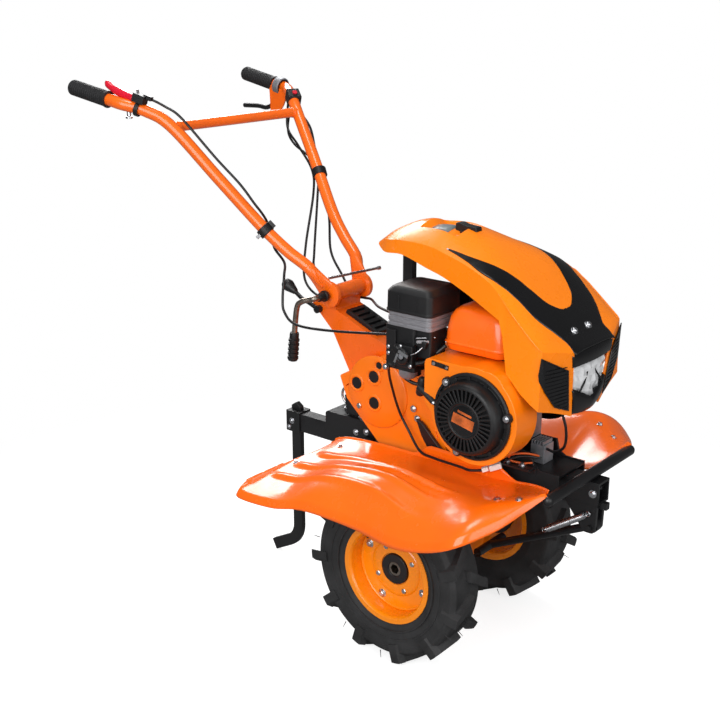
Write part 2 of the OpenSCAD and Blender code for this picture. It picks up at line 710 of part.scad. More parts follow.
// Stations from the rear tip to the front corner: the inner edge's X, its inset from the inner line and
// its height
// above the axle, the outer edge's X, its inset from the widest line and its height, and the rise of the
// crown between
fender_stations = spline([
    [-268, 0, 203, -338, 44, 148, 8],
    [-262, 0, 206, -357, 20, 140, 9],
    [-252, 0, 210, -352, 1, 133, 10],
    [-215, 0, 219, -240, -1, 130, 12],
    [-130, 0, 225, -150, 6, 145, 38],
    [-15, 0, 227, -15, 7, 145, 72],
    [90, 0, 227, 95, 0, 137, 90],
    [175, 0, 229, 185, -4, 157, 98],
    [235, 2, 234, 258, -4, 191, 90],
    [285, 26, 250, 306, 60, 217, 56],
    [325, 50, 262, 334, 122, 244, 22],
    [345, 66, 268, 352, 158, 264, 4],
    [349, 74, 272, 356, 166, 269, 2]], 3);
fender_rear = -353;
function fender_point(u, v, drop) = let (
    e = fender_stations[u],
    rear = clamp((mix(e[0], e[3], v) - fender_rear) / 330),
    base = mix(e[2], e[5], pow(v, 1.2)),
    crown = e[6] * smooth(min(1, v / 0.62)) * (1 - pow(v, 5)),
    rib = 5 * pow(sin(540 * v), 2) * smooth(clamp(rear * 6)) * smooth(clamp((1 - rear) * 2))
        * (v > 0.12 && v < 0.9 ? 1 : 0))
    [mix(e[0], e[3], v), mix(fender_gap + e[1], fender_half_w - e[4], v),
        axle_z + fender_clear - 36 + base + crown + rib - drop];
// The upturned lip along the inner edge, high between the wheel and the engine
function lip_point(u, out) = let (
    q = fender_point(u, 0, 0),
    h = 4 + 27 * smooth(clamp((q[0] + 40) / 50)) * smooth(clamp((236 - q[0]) / 60)))
    q + [0, out, h];
module fender(side) {
    rows = len(fender_stations) - 1;
    steps = 14;
    color("#f9731d") framed() mirror([0, side < 0 ? 1 : 0, 0]) sheet(
        [for (u = [0 : rows]) concat([for (k = [steps : -1 : 0]) fender_point(u, k / steps, 0)],
            [lip_point(u, 0)])],
        [for (u = [0 : rows]) concat(
            [for (k = [steps : -1 : 0]) fender_point(u, k / steps, fender_t) - [0, k == 0 ? fender_t : 0,
                0]],
            [lip_point(u, -fender_t)])]);
}

// Rear hitch, drawbar and depth stake

hitch_low = axle_z + 176;
hitch_high = axle_z + 246;
hitch_rear = -342;
hitch_w = 80;
pin_at = [-300, 0];
pin_r = 8;
bar_w = 32;
bar_h = 46;
bar_low = axle_z + 158;
module rear_hitch() {
    color("#222326") framed() difference() {
        union() {
            side_plate(rounded([[hitch_rear, hitch_low], [hitch_rear, hitch_high], [-235, hitch_high],
                [-120, hitch_low + 54], [-120, hitch_low + 30], [-150, hitch_low]],
                [8, 8, 16, 0, 0, 12]), -hitch_w / 2, hitch_w / 2);
        }
        side_plate(case_outline, -case_w, case_w);
        side_plate(leg_outline, -case_w, case_w);
        translate([hitch_rear - 1, -bar_w / 2 - seat_clear, hitch_low - 1])
            cube([96, bar_w + 2 * seat_clear, bar_low + bar_h + seat_clear - hitch_low + 1]);
        translate([stay_x - stay_w / 2 - seat_clear, -case_w, stay_z - seat_clear])
            cube([stay_w + 2 * seat_clear, 2 * case_w, stay_t + 2 * seat_clear]);
        translate([pin_at[0], pin_at[1], 0]) cylinder(r = pin_r + seat_clear, h = 2 * hitch_high);
    }
}
module hitch_pin() {
    color("#b8bbbe") framed() translate([pin_at[0], pin_at[1], 0]) {
        translate([0, 0, bar_low - 14]) cylinder(r = pin_r, h = hitch_high + 14 - bar_low + 12);
        translate([0, 0, hitch_high + seat_clear]) cylinder(r = pin_r + 5, h = 6);
        translate([0, 0, hitch_high + 36]) rotate([90, 0, 0]) rotate_extrude() translate([22, 0])
            circle(r = 3, $fn = 24);
    }
}
module drawbar() {
    stake_low = -stake_back - stake_w / 2;
    color("#1e1f22") framed() difference() {
        union() {
            translate([stake_low - 5, -bar_w / 2, bar_low])
                cube([hitch_rear + 92 - stake_low + 5, bar_w, bar_h]);
            translate([stake_low - 5, -bar_w / 2 - 5, bar_low - 4])
                cube([stake_w + 14, bar_w + 10, bar_h + 8]);
        }
        translate([stake_low - seat_clear, -stake_t / 2 - seat_clear, bar_low - 9])
            cube([stake_w + 2 * seat_clear, stake_t + 2 * seat_clear, bar_h + 18]);
        translate([pin_at[0], pin_at[1], 0]) cylinder(r = pin_r + seat_clear, h = 2 * hitch_high);
    }
}
// A flat bar that stands through the drawbar, with a toe that is bent back on to the ground
toe_r = 44;
toe_angle = 62;
toe_l = 62;
module depth_stake() {
    rear = -stake_back - stake_w / 2;
    front = -stake_back + stake_w / 2;
    top = axle_z + 228;
    along = [-sin(toe_angle), -cos(toe_angle)];
    bend_z = (toe_r + stake_w) * sin(toe_angle) - toe_l * along[1];
    centre = [rear - toe_r, bend_z];
    outer = [for (k = [0 : 8]) centre + (toe_r + stake_w) * [cos(toe_angle * k / 8),
        -sin(toe_angle * k / 8)]];
    inner = [for (k = [8 : -1 : 0]) centre + toe_r * [cos(toe_angle * k / 8), -sin(toe_angle * k / 8)]];
    outline = concat([[rear, top - 10], [(rear + front) / 2, top], [front, top - 10]], outer,
        [outer[8] + toe_l * along, inner[0] + toe_l * along], inner);
    color("#2a2b2d") framed() side_plate(outline, -stake_t / 2, stake_t / 2);
}
// A flat bar across the hitch that carries the fenders' rear ends
stay_x = -200;
stay_t = 5;
stay_w = 30;
stay_half = fender_gap + 12;
stay_z = axle_z + fender_clear + 179 - fender_t - 1 - stay_t;
module fender_stay() {
    color("#202124") framed() translate([stay_x - stay_w / 2, -stay_half, stay_z])
        cube([stay_w, 2 * stay_half, stay_t]);
}

// Handlebar

grip_back = unit([138, -10, -26]);
lever_room = 40;
grip_start = [grip_end[0] + 4, grip_half_w, grip_end[1]] + grip_back * (grip_l + lever_room);
tube_path = [[pivot[0] - 41, 84, pivot[1] + 61], [pivot[0] - 90, 102, pivot[1] + 97],
    [-457, 124, pivot[1] + 150], [-550, 168, pivot[1] + 257], [-650, 213, pivot[1] + 371],
        [-700, 246, pivot[1] + 407], grip_start];
cross_at = tube_path[4];
tube_bend = spline(concat(tube_path, [grip_start - 40 * grip_back]), 4);
module aligned(from, dir) {
    translate(from) rotate([0, 0, atan2(dir[1], dir[0])]) rotate([0, 90 - asin(dir[2]), 0]) children();
}
module handlebar() {
    y0 = disc_gap / 2 + seat_clear;
    color("#f8691f") framed() {
        for (s = [0, 1]) mirror([0, s, 0]) {
            difference() {
                cross_rod(pivot, disc_r, y0, y0 + disc_t);
                cross_rod(pivot, rod_d / 2 + run_clear, y0 - 1, y0 + disc_t + 1);
            }
            difference() {
                hull() {
                    cross_rod(pivot, disc_r - 3, y0 + 1, y0 + disc_t - 1, $fn = 32);
                    translate(tube_path[0]) sphere(r = tube_d / 2 + 1, $fn = 24);
                }
                cross_rod(pivot, disc_r - 6, y0 - 1, y0 + disc_t + 30);
            }
            swept_rod([for (k = [0 : len(tube_bend) - 5]) tube_bend[k]], tube_d / 2, 20);
            aligned(grip_start + 2 * grip_back, -grip_back)
                cylinder(r = tube_d / 2, h = grip_l + lever_room - 2);
        }
        cross_rod([cross_at[0], cross_at[2]], tube_d / 2 - 2, -cross_at[1], cross_at[1]);
    }
}
module grip(side) {
    color("#1f2023") framed() mirror([0, side < 0 ? 1 : 0, 0])
        aligned(grip_start - (grip_l + lever_room) * grip_back, grip_back) difference() {
            cylinder(r = grip_d / 2, h = grip_l);
            translate([0, 0, 4]) cylinder(r = tube_d / 2 + seat_clear, h = grip_l);
        }
}

// Levers, each on a ring clamped round the tube in front of a grip
clamp_t = 5;
clamp_l = 20;
module lever_clamp() {
    aligned(grip_start - 8 * grip_back, -grip_back) difference() {
        cylinder(r = tube_d / 2 + clamp_t, h = clamp_l);
        translate([0, 0, -1]) cylinder(r = tube_d / 2 + seat_clear, h = clamp_l + 2);
    }
}
module clutch_lever() {
    at = grip_start - 18 * grip_back + [0, 0, tube_d / 2 + clamp_t];
    color("#c81f2d") framed() mirror([0, 1, 0]) {
        lever_clamp();
        swept_rod(spline([at + [14, 0, 2], at + [-2, 0, 9], at + [-15, 1, 20], at + [-26, 2, 34]], 4),
            6.5, 10);
    }
}
module reverse_lever() {
    at = grip_start - 18 * grip_back - [0, 0, tube_d / 2 + clamp_t];
    color("#26272a") framed() {
        lever_clamp();
        swept_rod([at + [0, 0, 2.5], at + [-8, 0, -19]], 6, 10);
        swept_rod(spline([at + [14, 0, -5], at + [-12, 0, -20], at + [-50, 0, -38], at + [-84, 0, -36],
            at + [-138, 2, -38]], 4), 6.5, 10);
    }
}

// Control cables, held at the levers and at the machine
cable_r = 3.2;
clutch_end = grip_start - 18 * grip_back + [14.5, 0, tube_d / 2 + clamp_t + 1.9];
throttle_route = [[clutch_end[0], -clutch_end[1], clutch_end[2]],
    [clutch_end[0] + 20, -clutch_end[1] + 2, clutch_end[2] - 4.5], [-690, -238, pivot[1] + 431],
    [-627, -204, pivot[1] + 392], [-553, -172, pivot[1] + 305], [-500, -150, pivot[1] + 248],
    [-472, -133, pivot[1] + 204], [-463, -118, pivot[1] + 180], [-460, -104.5, pivot[1] + 158],
    [-449, -100, pivot[1] + 126], [-436, -107, pivot[1] + 100], [-400, -113, pivot[1] + 72],
    [-376, -140, pivot[1] + 50], [-366, -157, pivot[1] + 3], [-356, -163, pivot[1] - 28],
    [-318, -166, pivot[1] - 50], [-220, -166, pivot[1] - 46], [filter_x - 4.8, -150, filter_z - 30]];
module throttle_cable() {
    color("#1a1a1c") framed() swept_rod(spline(throttle_route, 4), cable_r, 8);
}
reverse_end = grip_start - 18 * grip_back + [16.25, 0, -tube_d / 2 - clamp_t - 3.5];
left_routes = [
    [reverse_end + [0, -3.6, 0], reverse_end + [16, -8, -7], [-690, 218, pivot[1] + 330],
        [-641, 205, pivot[1] + 287], [-580, 188, pivot[1] + 233], [-551, 160, pivot[1] + 178],
        [-534, 110, pivot[1] + 57], [-507, 75, pivot[1] - 21], [-440, 58, pivot[1] - 52],
        [-352, 52, pivot[1] - 46]],
    [reverse_end + [0, 3.6, 0], reverse_end + [16, 6, -8], [-709, 240, pivot[1] + 324],
        [-676, 226, pivot[1] + 288], [-602, 204, pivot[1] + 262], [-558, 187, pivot[1] + 235],
        [-541, 165, pivot[1] + 178], [-504, 108, pivot[1] + 45], [-488, 90, pivot[1] + 8],
        [-436, 68, pivot[1] - 52], [-360, 52, pivot[1] - 76]],
    [[-642, 229, pivot[1] + 357], [-613, 224, pivot[1] + 327], [-574, 202, pivot[1] + 259],
        [-540, 187, pivot[1] + 231], [-487, 146, pivot[1] + 128], [-447, 106, pivot[1] + 54],
        [-384, 76, pivot[1] + 7], [-333, 52, pivot[1] - 26], [-296, 51, pivot[1] - 28],
        [-262, 36, pivot[1] - 23], [-200, -14, pivot[1] - 20], [-120, -58, pivot[1] - 15],
        [filter_x - 4.8, -106, filter_z - 14]]];
module left_cables() {
    color("#19191b") framed() for (r = left_routes) swept_rod(spline(r, 4), cable_r, 8);
}

// Folding stand

stand_rest = unit([-254, -126]);
module stand() {
    dir = stand_rest;
    foot = stand_pivot + stand_l * dir;
    color("#242528") framed() {
        cross_rod(stand_pivot, 14, -hanger_w / 2 + 8 + seat_clear, hanger_w / 2 - 8 - seat_clear);
        cross_rod(stand_pivot, 6, -hanger_w / 2 - 6, hanger_w / 2 + 6);
        translate([stand_pivot[0], 0, stand_pivot[1]] + 10 * [dir[0], 0, dir[1]])
            rotate([0, atan2(dir[0], dir[1]), 0])
            cylinder(r = min(stand_d / 2, hanger_w / 2 - 9), h = stand_l - 10);
        cross_rod(foot, stand_d / 2, -52, 52);
    }
}
module stand_spring() {
    a = stand_pivot + [-2, 34];
    b = stand_pivot + stand_l * 0.42 * stand_rest + [4, 20];
    dir = unit(b - a);
    color("#c3c6c9") framed() translate([a[0], -hanger_w / 2 - 7 - seat_clear, a[1]])
        rotate([0, atan2(dir[0], dir[1]), 0])
        cylinder(r = 7, h = norm(b - a));
}

gearbox();
gearbox_plugs();
axle();
handle_column();
shift_gate();
gear_lever();
clamp_lever();
front_frame();
front_tube();
fender_bar();
engine_block();
fan_shroud();
recoil_starter();
starter_handle();
fuel_tank();
fuel_cap();
filter_cover();
filter_band();
carburettor_box();
muffler();
belt_guard();
hood();
hood_nose();
headlight();
hood_vents();
hood_post();
fender(-1);  // fender_right
fender(1);  // fender_left
fender_stay();
rear_hitch();
hitch_pin();
drawbar();
depth_stake();
handlebar();
grip(-1);  // grip_right
grip(1);  // grip_left
clutch_lever();
reverse_lever();
throttle_cable();
left_cables();
tyre(-1);  // tyre_right
tyre(1);  // tyre_left
rim(-1);  // rim_right
rim(1);  // rim_left
hub(-1);  // hub_right
hub(1);  // hub_left
stand();
stand_spring();
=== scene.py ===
"""A walk-behind power tiller in a plain studio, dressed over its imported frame.

Places are written in millimetres from the ground under the axle, with X forwards, Y to the operator's
left and Z up.
"""
import math

import bmesh
import bpy
from mathutils import Matrix, Vector


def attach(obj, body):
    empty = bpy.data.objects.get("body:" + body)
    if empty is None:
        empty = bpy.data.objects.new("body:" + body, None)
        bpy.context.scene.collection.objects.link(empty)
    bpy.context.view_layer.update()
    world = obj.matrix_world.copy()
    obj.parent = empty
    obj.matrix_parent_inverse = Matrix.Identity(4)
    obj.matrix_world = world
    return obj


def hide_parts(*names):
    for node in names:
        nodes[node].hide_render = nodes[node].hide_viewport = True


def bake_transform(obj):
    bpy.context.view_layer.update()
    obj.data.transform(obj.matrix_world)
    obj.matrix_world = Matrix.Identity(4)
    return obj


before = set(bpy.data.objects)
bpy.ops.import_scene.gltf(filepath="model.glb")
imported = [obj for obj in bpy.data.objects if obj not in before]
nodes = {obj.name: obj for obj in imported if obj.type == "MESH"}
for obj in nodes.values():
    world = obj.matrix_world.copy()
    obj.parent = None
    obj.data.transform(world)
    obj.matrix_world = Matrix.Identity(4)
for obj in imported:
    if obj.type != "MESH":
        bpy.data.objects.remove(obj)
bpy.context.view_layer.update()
MM = 0.001
# The axle is this far ahead of the frame's origin
AXLE_AHEAD = 256


# Camera at the photograph's viewing angle, placed in metres

CAMERA_AT = Vector((1.682, -2.058, 1.441))
CAMERA_TURN = math.radians(39.44)
CAMERA_TILT = math.radians(17.83)
CAMERA_LENS = 59.05
FILM_WIDTH = 36


def make_camera():
    data = bpy.data.cameras.new("photo_camera")
    data.sensor_width = FILM_WIDTH
    data.lens = CAMERA_LENS
    camera = bpy.data.objects.new("photo_camera", data)
    bpy.context.scene.collection.objects.link(camera)
    back = Vector((math.sin(CAMERA_TURN) * math.cos(CAMERA_TILT),
                   -math.cos(CAMERA_TURN) * math.cos(CAMERA_TILT), math.sin(CAMERA_TILT)))
    right = Vector((math.cos(CAMERA_TURN), math.sin(CAMERA_TURN), 0))
    turn = Matrix((right, back.cross(right), back)).transposed()
    camera.matrix_world = Matrix.Translation(CAMERA_AT) @ turn.to_4x4()
    bpy.context.scene.camera = camera


# Materials

def linear(code, factor=1.0):
    """A colour written as sRGB hex, in the renderer's linear values, made darker or lighter by a factor."""
    parts = [int(code[i:i + 2], 16) / 255 for i in (1, 3, 5)]
    level = [c / 12.92 if c <= 0.04045 else ((c + 0.055) / 1.055) ** 2.4 for c in parts]
    return tuple(min(1, c * factor) for c in level) + (1,)


def add(tree, kind, settings=None, **inputs):
    """Adds a node with its settings. An input is a value or a socket to link from; i3 is the fourth input."""
    made = tree.nodes.new("ShaderNode" + kind)
    for key, value in (settings or {}).items():
        setattr(made, key, value)
    for key, value in inputs.items():
        numbered = key[0] == "i" and key[1:].isdigit()
        socket = made.inputs[int(key[1:])] if numbered else made.inputs[key.replace("_", " ")]
        if isinstance(value, bpy.types.NodeSocket):
            tree.links.new(value, socket)
        else:
            socket.default_value = value
    return made


def per_metre(size_mm):
    """Texture scale for a pattern with features of a size in millimetres."""
    return 1000 / size_mm


# The gloss is uneven over patches about as wide as a wipe of the hand
SMEAR_MM = 40
# A clear coat over paint or plastic is nearly smooth
LACQUER_ROUGH = 0.08


def finish(name, code, rough, depth_mm, grain_mm=3, drift=(0.94, 1.05), drift_mm=150, stretch=(1, 1, 1),
           metallic=0.0, coat=0.0):
    """A surface whose colour drifts, whose gloss is uneven and whose skin has a grain of a real size.

    rough is the roughness at its lowest and highest, depth_mm and grain_mm are the skin's, drift is the
    darkest and lightest factor of the colour over patches of drift_mm, and stretch draws the patterns out.
    """
    material = bpy.data.materials.new(name)
    material.use_nodes = True
    tree = material.node_tree
    shader = tree.nodes["Principled BSDF"]
    place = add(tree, "TexCoord").outputs["Object"]
    place = add(tree, "Mapping", Vector=place, Scale=stretch).outputs["Vector"]
    cloud = add(tree, "TexNoise", Vector=place, Scale=per_metre(drift_mm), Detail=4).outputs["Fac"]
    share = add(tree, "MapRange", Value=cloud, i1=0.32, i2=0.68).outputs["Result"]
    darkest, lightest = (linear(code, factor) for factor in drift)
    colour = add(tree, "Mix", {"data_type": "RGBA"}, i0=share, i6=darkest, i7=lightest).outputs[2]
    tree.links.new(colour, shader.inputs["Base Color"])
    smear = add(tree, "TexNoise", Vector=place, Scale=per_metre(SMEAR_MM), Detail=5).outputs["Fac"]
    gloss = add(tree, "MapRange", Value=smear, i1=0.3, i2=0.7, i3=rough[0], i4=rough[1]).outputs["Result"]
    tree.links.new(gloss, shader.inputs["Roughness"])
    grain = add(tree, "TexNoise", Vector=place, Scale=per_metre(grain_mm), Detail=2).outputs["Fac"]
    skin = add(tree, "Bump", Height=grain, Strength=1.0, Distance=depth_mm * MM).outputs["Normal"]
    tree.links.new(skin, shader.inputs["Normal"])
    shader.inputs["Metallic"].default_value = metallic
    shader.inputs["Coat Weight"].default_value = coat
    shader.inputs["Coat Roughness"].default_value = LACQUER_ROUGH
    return material


# Powder-coated sheet steel and tube: an even gloss with orange peel about 3 mm across
FENDER_ORANGE = finish("orange_powder_coat", "#fa6806", rough=(0.2, 0.3), coat=0.4, depth_mm=0.012)
TUBE_ORANGE = finish("orange_tube_powder_coat", "#f96a0c", rough=(0.26, 0.3), coat=0.5, depth_mm=0.004)
# Enamel on a casting: a duller gloss over a coarser skin
CAST_ORANGE = finish("orange_casting_enamel", "#fa7804", rough=(0.3, 0.44), grain_mm=4, depth_mm=0.1,
                     coat=0.15)
# Baked enamel on pressed steel: smooth, glossier on the tank and the rims
SHROUD_ORANGE = finish("orange_shroud_enamel", "#fb7d02", rough=(0.26, 0.36), coat=0.2, depth_mm=0.012)
TANK_ORANGE = finish("orange_tank_enamel", "#fc690a", rough=(0.24, 0.36), coat=0.5, depth_mm=0.012)
RIM_ORANGE = finish("orange_rim_enamel", "#fd8c02", rough=(0.22, 0.34), coat=0.6, depth_mm=0.012)
# Injection-moulded ABS with a polished skin: an even gloss with faint flow marks
HOOD_ABS = finish("orange_polished_abs", "#fb8200", rough=(0.24, 0.32), drift=(0.97, 1.03), coat=0.1,
                  grain_mm=6, depth_mm=0.02)
BLACK_ABS = finish("black_polished_abs", "#0e0e10", rough=(0.2, 0.3), drift=(0.8, 1.2), grain_mm=5,
                   depth_mm=0.02)
# Glass-filled nylon with a spark-eroded grain: matt and slightly grey
BLACK_NYLON = finish("black_grained_nylon", "#0f0f11", rough=(0.4, 0.55), drift=(0.8, 1.25), drift_mm=60,
                     grain_mm=1.2, depth_mm=0.06)
# Plain moulded nylon: a strong colour with a soft sheen
RED_NYLON = finish("red_nylon", "#d00f2c", rough=(0.22, 0.34), grain_mm=2, depth_mm=0.03, coat=0.3)
WHITE_NYLON = finish("white_connector_nylon", "#e9e7e2", rough=(0.35, 0.5), grain_mm=1.5, depth_mm=0.012)
# Black satin enamel on welded steel: a little dusty
BLACK_ENAMEL = finish("black_satin_enamel", "#121214", rough=(0.34, 0.5), drift=(0.8, 1.3), drift_mm=90,
                      grain_mm=2.5, depth_mm=0.05, coat=0.15)
# Zinc-plated steel: bright with cloudy patches
ZINC = finish("zinc_plated_steel", "#cfd0d4", rough=(0.2, 0.36), drift=(0.82, 1.1), drift_mm=14, grain_mm=0.8,
              depth_mm=0.02, metallic=1.0)
# Mill-finish steel rod: brownish from its oil
OILED_STEEL = finish("oiled_steel_rod", "#a89c90", rough=(0.26, 0.4), drift=(0.6, 1.1), drift_mm=20,
                     grain_mm=0.9, depth_mm=0.03, metallic=1.0)
# Pressed aluminium band, brushed along its length: grey with fine streaks
BRIGHT_BAND = finish("brushed_aluminium_band", "#939297", rough=(0.34, 0.48), drift=(0.8, 1.1), drift_mm=14,
                     stretch=(1, 1, 9), grain_mm=3, depth_mm=0.04, metallic=0.5)
# Die-cast aluminium: grey and slightly pitted
DIE_CAST = finish("die_cast_aluminium", "#8b8d92", rough=(0.4, 0.55), drift=(0.7, 1.15), drift_mm=25,
                  grain_mm=1.5, depth_mm=0.12, metallic=0.4)
# Vulcanised tyre rubber: matt, with dusty bloom and a fine mould skin
TYRE_RUBBER = finish("tyre_rubber", "#262627", rough=(0.62, 0.82), drift=(0.7, 1.4), drift_mm=45,
                     grain_mm=2.2, depth_mm=0.14)
# Moulded grip rubber: darker, with a dull sheen from the hands
GRIP_RUBBER = finish("grip_rubber", "#1d1d1f", rough=(0.5, 0.7), drift=(0.8, 1.25), drift_mm=25, grain_mm=1.2,
                     depth_mm=0.1)
# Extruded PVC sheath: smooth, with a thin line of light along it
CABLE_PVC = finish("black_cable_pvc", "#121214", rough=(0.34, 0.46), grain_mm=2, depth_mm=0.03)
ORANGE_PVC = finish("orange_wire_pvc", "#c8551a", rough=(0.34, 0.46), grain_mm=2, depth_mm=0.03)
# Vacuum-metallised reflector under a clear lens, drawn as a pale, mostly diffuse colour: its brightness and
# its bright and grey patches are painted reflection
REFLECTOR_PAINTED_REFLECTION = finish("lamp_reflector_painted_reflection", "#f4f5f7", rough=(0.1, 0.2), drift=(0.85, 1.0), drift_mm=9, grain_mm=9,
                   depth_mm=0.2, metallic=0.25, coat=0.6)
# Moulded grey ABS: plain, with a soft sheen
GREY_ABS = finish("grey_abs", "#6f7678", rough=(0.3, 0.42), grain_mm=2, depth_mm=0.03)
# Printed foil: a copper tint, lighter and darker in patches
BADGE_COPPER = finish("copper_badge_foil", "#b85a26", rough=(0.24, 0.36), drift=(0.6, 1.5), drift_mm=22,
                      depth_mm=0.01)


# Shapes

def at(x, y, z):
    """A place in the row frame, in metres."""
    return Vector(((x + AXLE_AHEAD) * MM, y * MM, z * MM))


def mix(a, b, t):
    return a + (b - a) * t


def clamp(t):
    return max(0.0, min(1.0, t))


def smooth(t):
    t = clamp(t)
    return t * t * (3 - 2 * t)


def spline(points, steps):
    """A Catmull-Rom curve through given points of any number of values."""
    last = len(points) - 1
    made = []
    for i in range(last):
        a, b = points[max(i - 1, 0)], points[i]
        c, d = points[i + 1], points[min(i + 2, last)]
        for k in range(steps):
            t = k / steps
            made.append(tuple(
                0.5 * (2 * q + (r - p) * t + (2 * p - 5 * q + 4 * r - s) * t * t
                       + (3 * q - p - 3 * r + s) * t ** 3)
                for p, q, r, s in zip(a, b, c, d)))
    return made + [tuple(points[last])]


def rounded(low, high, radius, steps=5):
    """A rectangle's outline with round corners."""
    corners = ((high[0], high[1], 0), (low[0], high[1], 90), (low[0], low[1], 180), (high[0], low[1], 270))
    outline = []
    for x, y, turn in corners:
        cx = x + (radius if x == low[0] else -radius)
        cy = y + (radius if y == low[1] else -radius)
        for k in range(steps + 1):
            angle = math.radians(turn + 90 * k / steps)
            outline.append((cx + radius * math.cos(angle), cy + radius * math.sin(angle)))
    return outline


def across(axis):
    """Two directions square to an axis."""
    axis = Vector(axis).normalized()
    side = axis.cross(Vector((0, 0, 1)))
    if side.length < 0.2:
        side = axis.cross(Vector((1, 0, 0)))
    side.normalize()
    return side, axis.cross(side)


def circle(centre, u, v, radius, sides, turn=0.0):
    """Points round a centre in the plane of two directions."""
    angles = [2 * math.pi * k / sides + turn for k in range(sides)]
    return [centre + radius * (math.cos(a) * u + math.sin(a) * v) for a in angles]


class Shape:
    """The faces of one piece, in millimetres; a face's tint is the number of its material."""

    def __init__(self):
        self.points = []
        self.faces = []
        self.tints = []

    def add(self, points, faces, tint=0):
        start = len(self.points)
        self.points += [tuple(p) for p in points]
        self.faces += [tuple(start + i for i in face) for face in faces]
        self.tints += [tint] * len(faces)

    def loft(self, rings, tint=0, caps=True, closed=True):
        """Joins rings of equally many points; open rings make a sheet."""
        count = len(rings[0])
        faces = []
        for i in range(len(rings) - 1):
            here, there = i * count, (i + 1) * count
            for k in range(count if closed else count - 1):
                after = (k + 1) % count
                faces.append((here + k, here + after, there + after, there + k))
        if caps and closed:
            faces.append(tuple(reversed(range(count))))
            faces.append(tuple((len(rings) - 1) * count + k for k in range(count)))
        self.add([p for ring in rings for p in ring], faces, tint)

    def tube(self, path, radius, sides=14, tint=0):
        """A rod along a path; radius may be a list."""
        path = [Vector(p) for p in path]
        radii = radius if isinstance(radius, list) else [radius] * len(path)
        rings = []
        side = None
        for i, p in enumerate(path):
            ahead = (path[min(i + 1, len(path) - 1)] - path[max(i - 1, 0)]).normalized()
            side = across(ahead)[0] if side is None else (side - ahead * side.dot(ahead)).normalized()
            rings.append(circle(p, side, ahead.cross(side), radii[i], sides))
        self.loft(rings, tint)

    def lathe(self, profile, origin, axis, sides=32, tint=0, turn=0.0):
        """Rings of (distance along the axis, radius).

        A profile that comes back to its start is a hollow ring.
        """
        axis = Vector(axis).normalized()
        u, v = across(axis)
        origin = Vector(origin)
        rings = [circle(origin + axis * along, u, v, max(r, 0.01), sides, turn) for along, r in profile]
        self.loft(rings, tint, caps=profile[0] != profile[-1])

    def block(self, low, high, tint=0):
        (a, b, c), (d, e, f) = low, high
        self.loft([[(a, b, z), (d, b, z), (d, e, z), (a, e, z)] for z in (c, f)], tint)

    def slab(self, centre, ahead, up, sizes, tint=0):
        """A block turned to two directions; sizes run along them and across."""
        centre, ahead = Vector(centre), Vector(ahead).normalized()
        side = ahead.cross(Vector(up)).normalized()
        up = side.cross(ahead)
        length, height, width = (s / 2 for s in sizes)
        self.loft([[centre + ahead * i + side * width * j + up * height * k
                    for j, k in ((-1, -1), (1, -1), (1, 1), (-1, 1))] for i in (-length, length)], tint)

    def plate(self, outline, y_low, y_high, tint=0):
        """A side-view outline between two Y positions."""
        self.loft([[(x, y, z) for x, z in outline] for y in (y_low, y_high)], tint)

    def bolt(self, place, axis, size=8, tint=0):
        """A hexagon head on a washer."""
        self.lathe([(-0.5, size), (0.9, size), (1.3, size * 0.95)], place, axis, 20, tint)
        self.lathe([(1.0, size * 0.64), (1 + size * 0.42, size * 0.64), (1 + size * 0.52, size * 0.52)],
                   place, axis, 6, tint, turn=0.3)

    def mirrored(self):
        """Adds the same faces on the other side."""
        points = [(x, -y, z) for x, y, z in self.points]
        tints = list(self.tints)
        self.add(points, [tuple(reversed(f)) for f in self.faces])
        self.tints[len(tints):] = tints

    def build(self, name, materials, body, replaces=(), bevel=0.0, angle=38, solid=0.0, rings=2):
        """Makes the piece; bevel rounds its edges and solid gives a sheet its thickness."""
        materials = materials if isinstance(materials, list) else [materials]
        data = bpy.data.meshes.new(name)
        data.from_pydata([at(*p) for p in self.points], [], self.faces)
        for material in materials:
            data.materials.append(material)
        data.polygons.foreach_set("material_index", self.tints)
        work = bmesh.new()
        work.from_mesh(data)
        bmesh.ops.remove_doubles(work, verts=work.verts, dist=0.002 * MM)
        bmesh.ops.recalc_face_normals(work, faces=work.faces)
        work.to_mesh(data)
        work.free()
        return place_piece(name, data, body, replaces, bevel, angle, solid, rings)


def place_piece(name, data, body, replaces, bevel, angle, solid=0.0, rings=2):
    """Puts a mesh in the scene on its body."""
    data.shade_smooth()
    data.set_sharp_from_angle(angle=math.radians(angle))
    made = bpy.data.objects.new(name, data)
    bpy.context.scene.collection.objects.link(made)
    if solid:
        sheet = made.modifiers.new("thickness", "SOLIDIFY")
        sheet.thickness = solid * MM
        sheet.offset = -1
    if bevel:
        edge = made.modifiers.new("edges", "BEVEL")
        edge.width = bevel * MM
        edge.segments = rings
        edge.limit_method = "ANGLE"
        edge.angle_limit = math.radians(angle)
        edge.harden_normals = True
    if replaces:
        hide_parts(*replaces)
    if body:
        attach(made, body)
    return made


def dress(name, material, bevel=0.0, angle=38, body="chassis", front=None):
    """Stands for a node with a copy of its mesh, smooth and with rounded edges, ending at a front X."""
    work = bmesh.new()
    work.from_mesh(nodes[name].data)
    if front is not None:
        for corner in work.verts:
            corner.co.x = min(corner.co.x, at(front, 0, 0).x)
    bmesh.ops.remove_doubles(work, verts=work.verts, dist=0.004 * MM)
    bmesh.ops.dissolve_limit(work, angle_limit=math.radians(0.8), verts=work.verts, edges=work.edges)
    bmesh.ops.recalc_face_normals(work, faces=work.faces)
    data = bpy.data.meshes.new(name + "_dressed")
    work.to_mesh(data)
    work.free()
    data.materials.clear()
    data.materials.append(material)
    return place_piece(name + "_dressed", data, body, [name], bevel, angle)


# Places and directions that several pieces share
RIGHT = (0, -1, 0)
LEFT = (0, 1, 0)
UP = (0, 0, 1)
AXLE_Z = 205
ENGINE_Z = 497
CRANK_X = 183
CRANK_Z = 603
PIVOT_X = -309
PIVOT_Z = 749
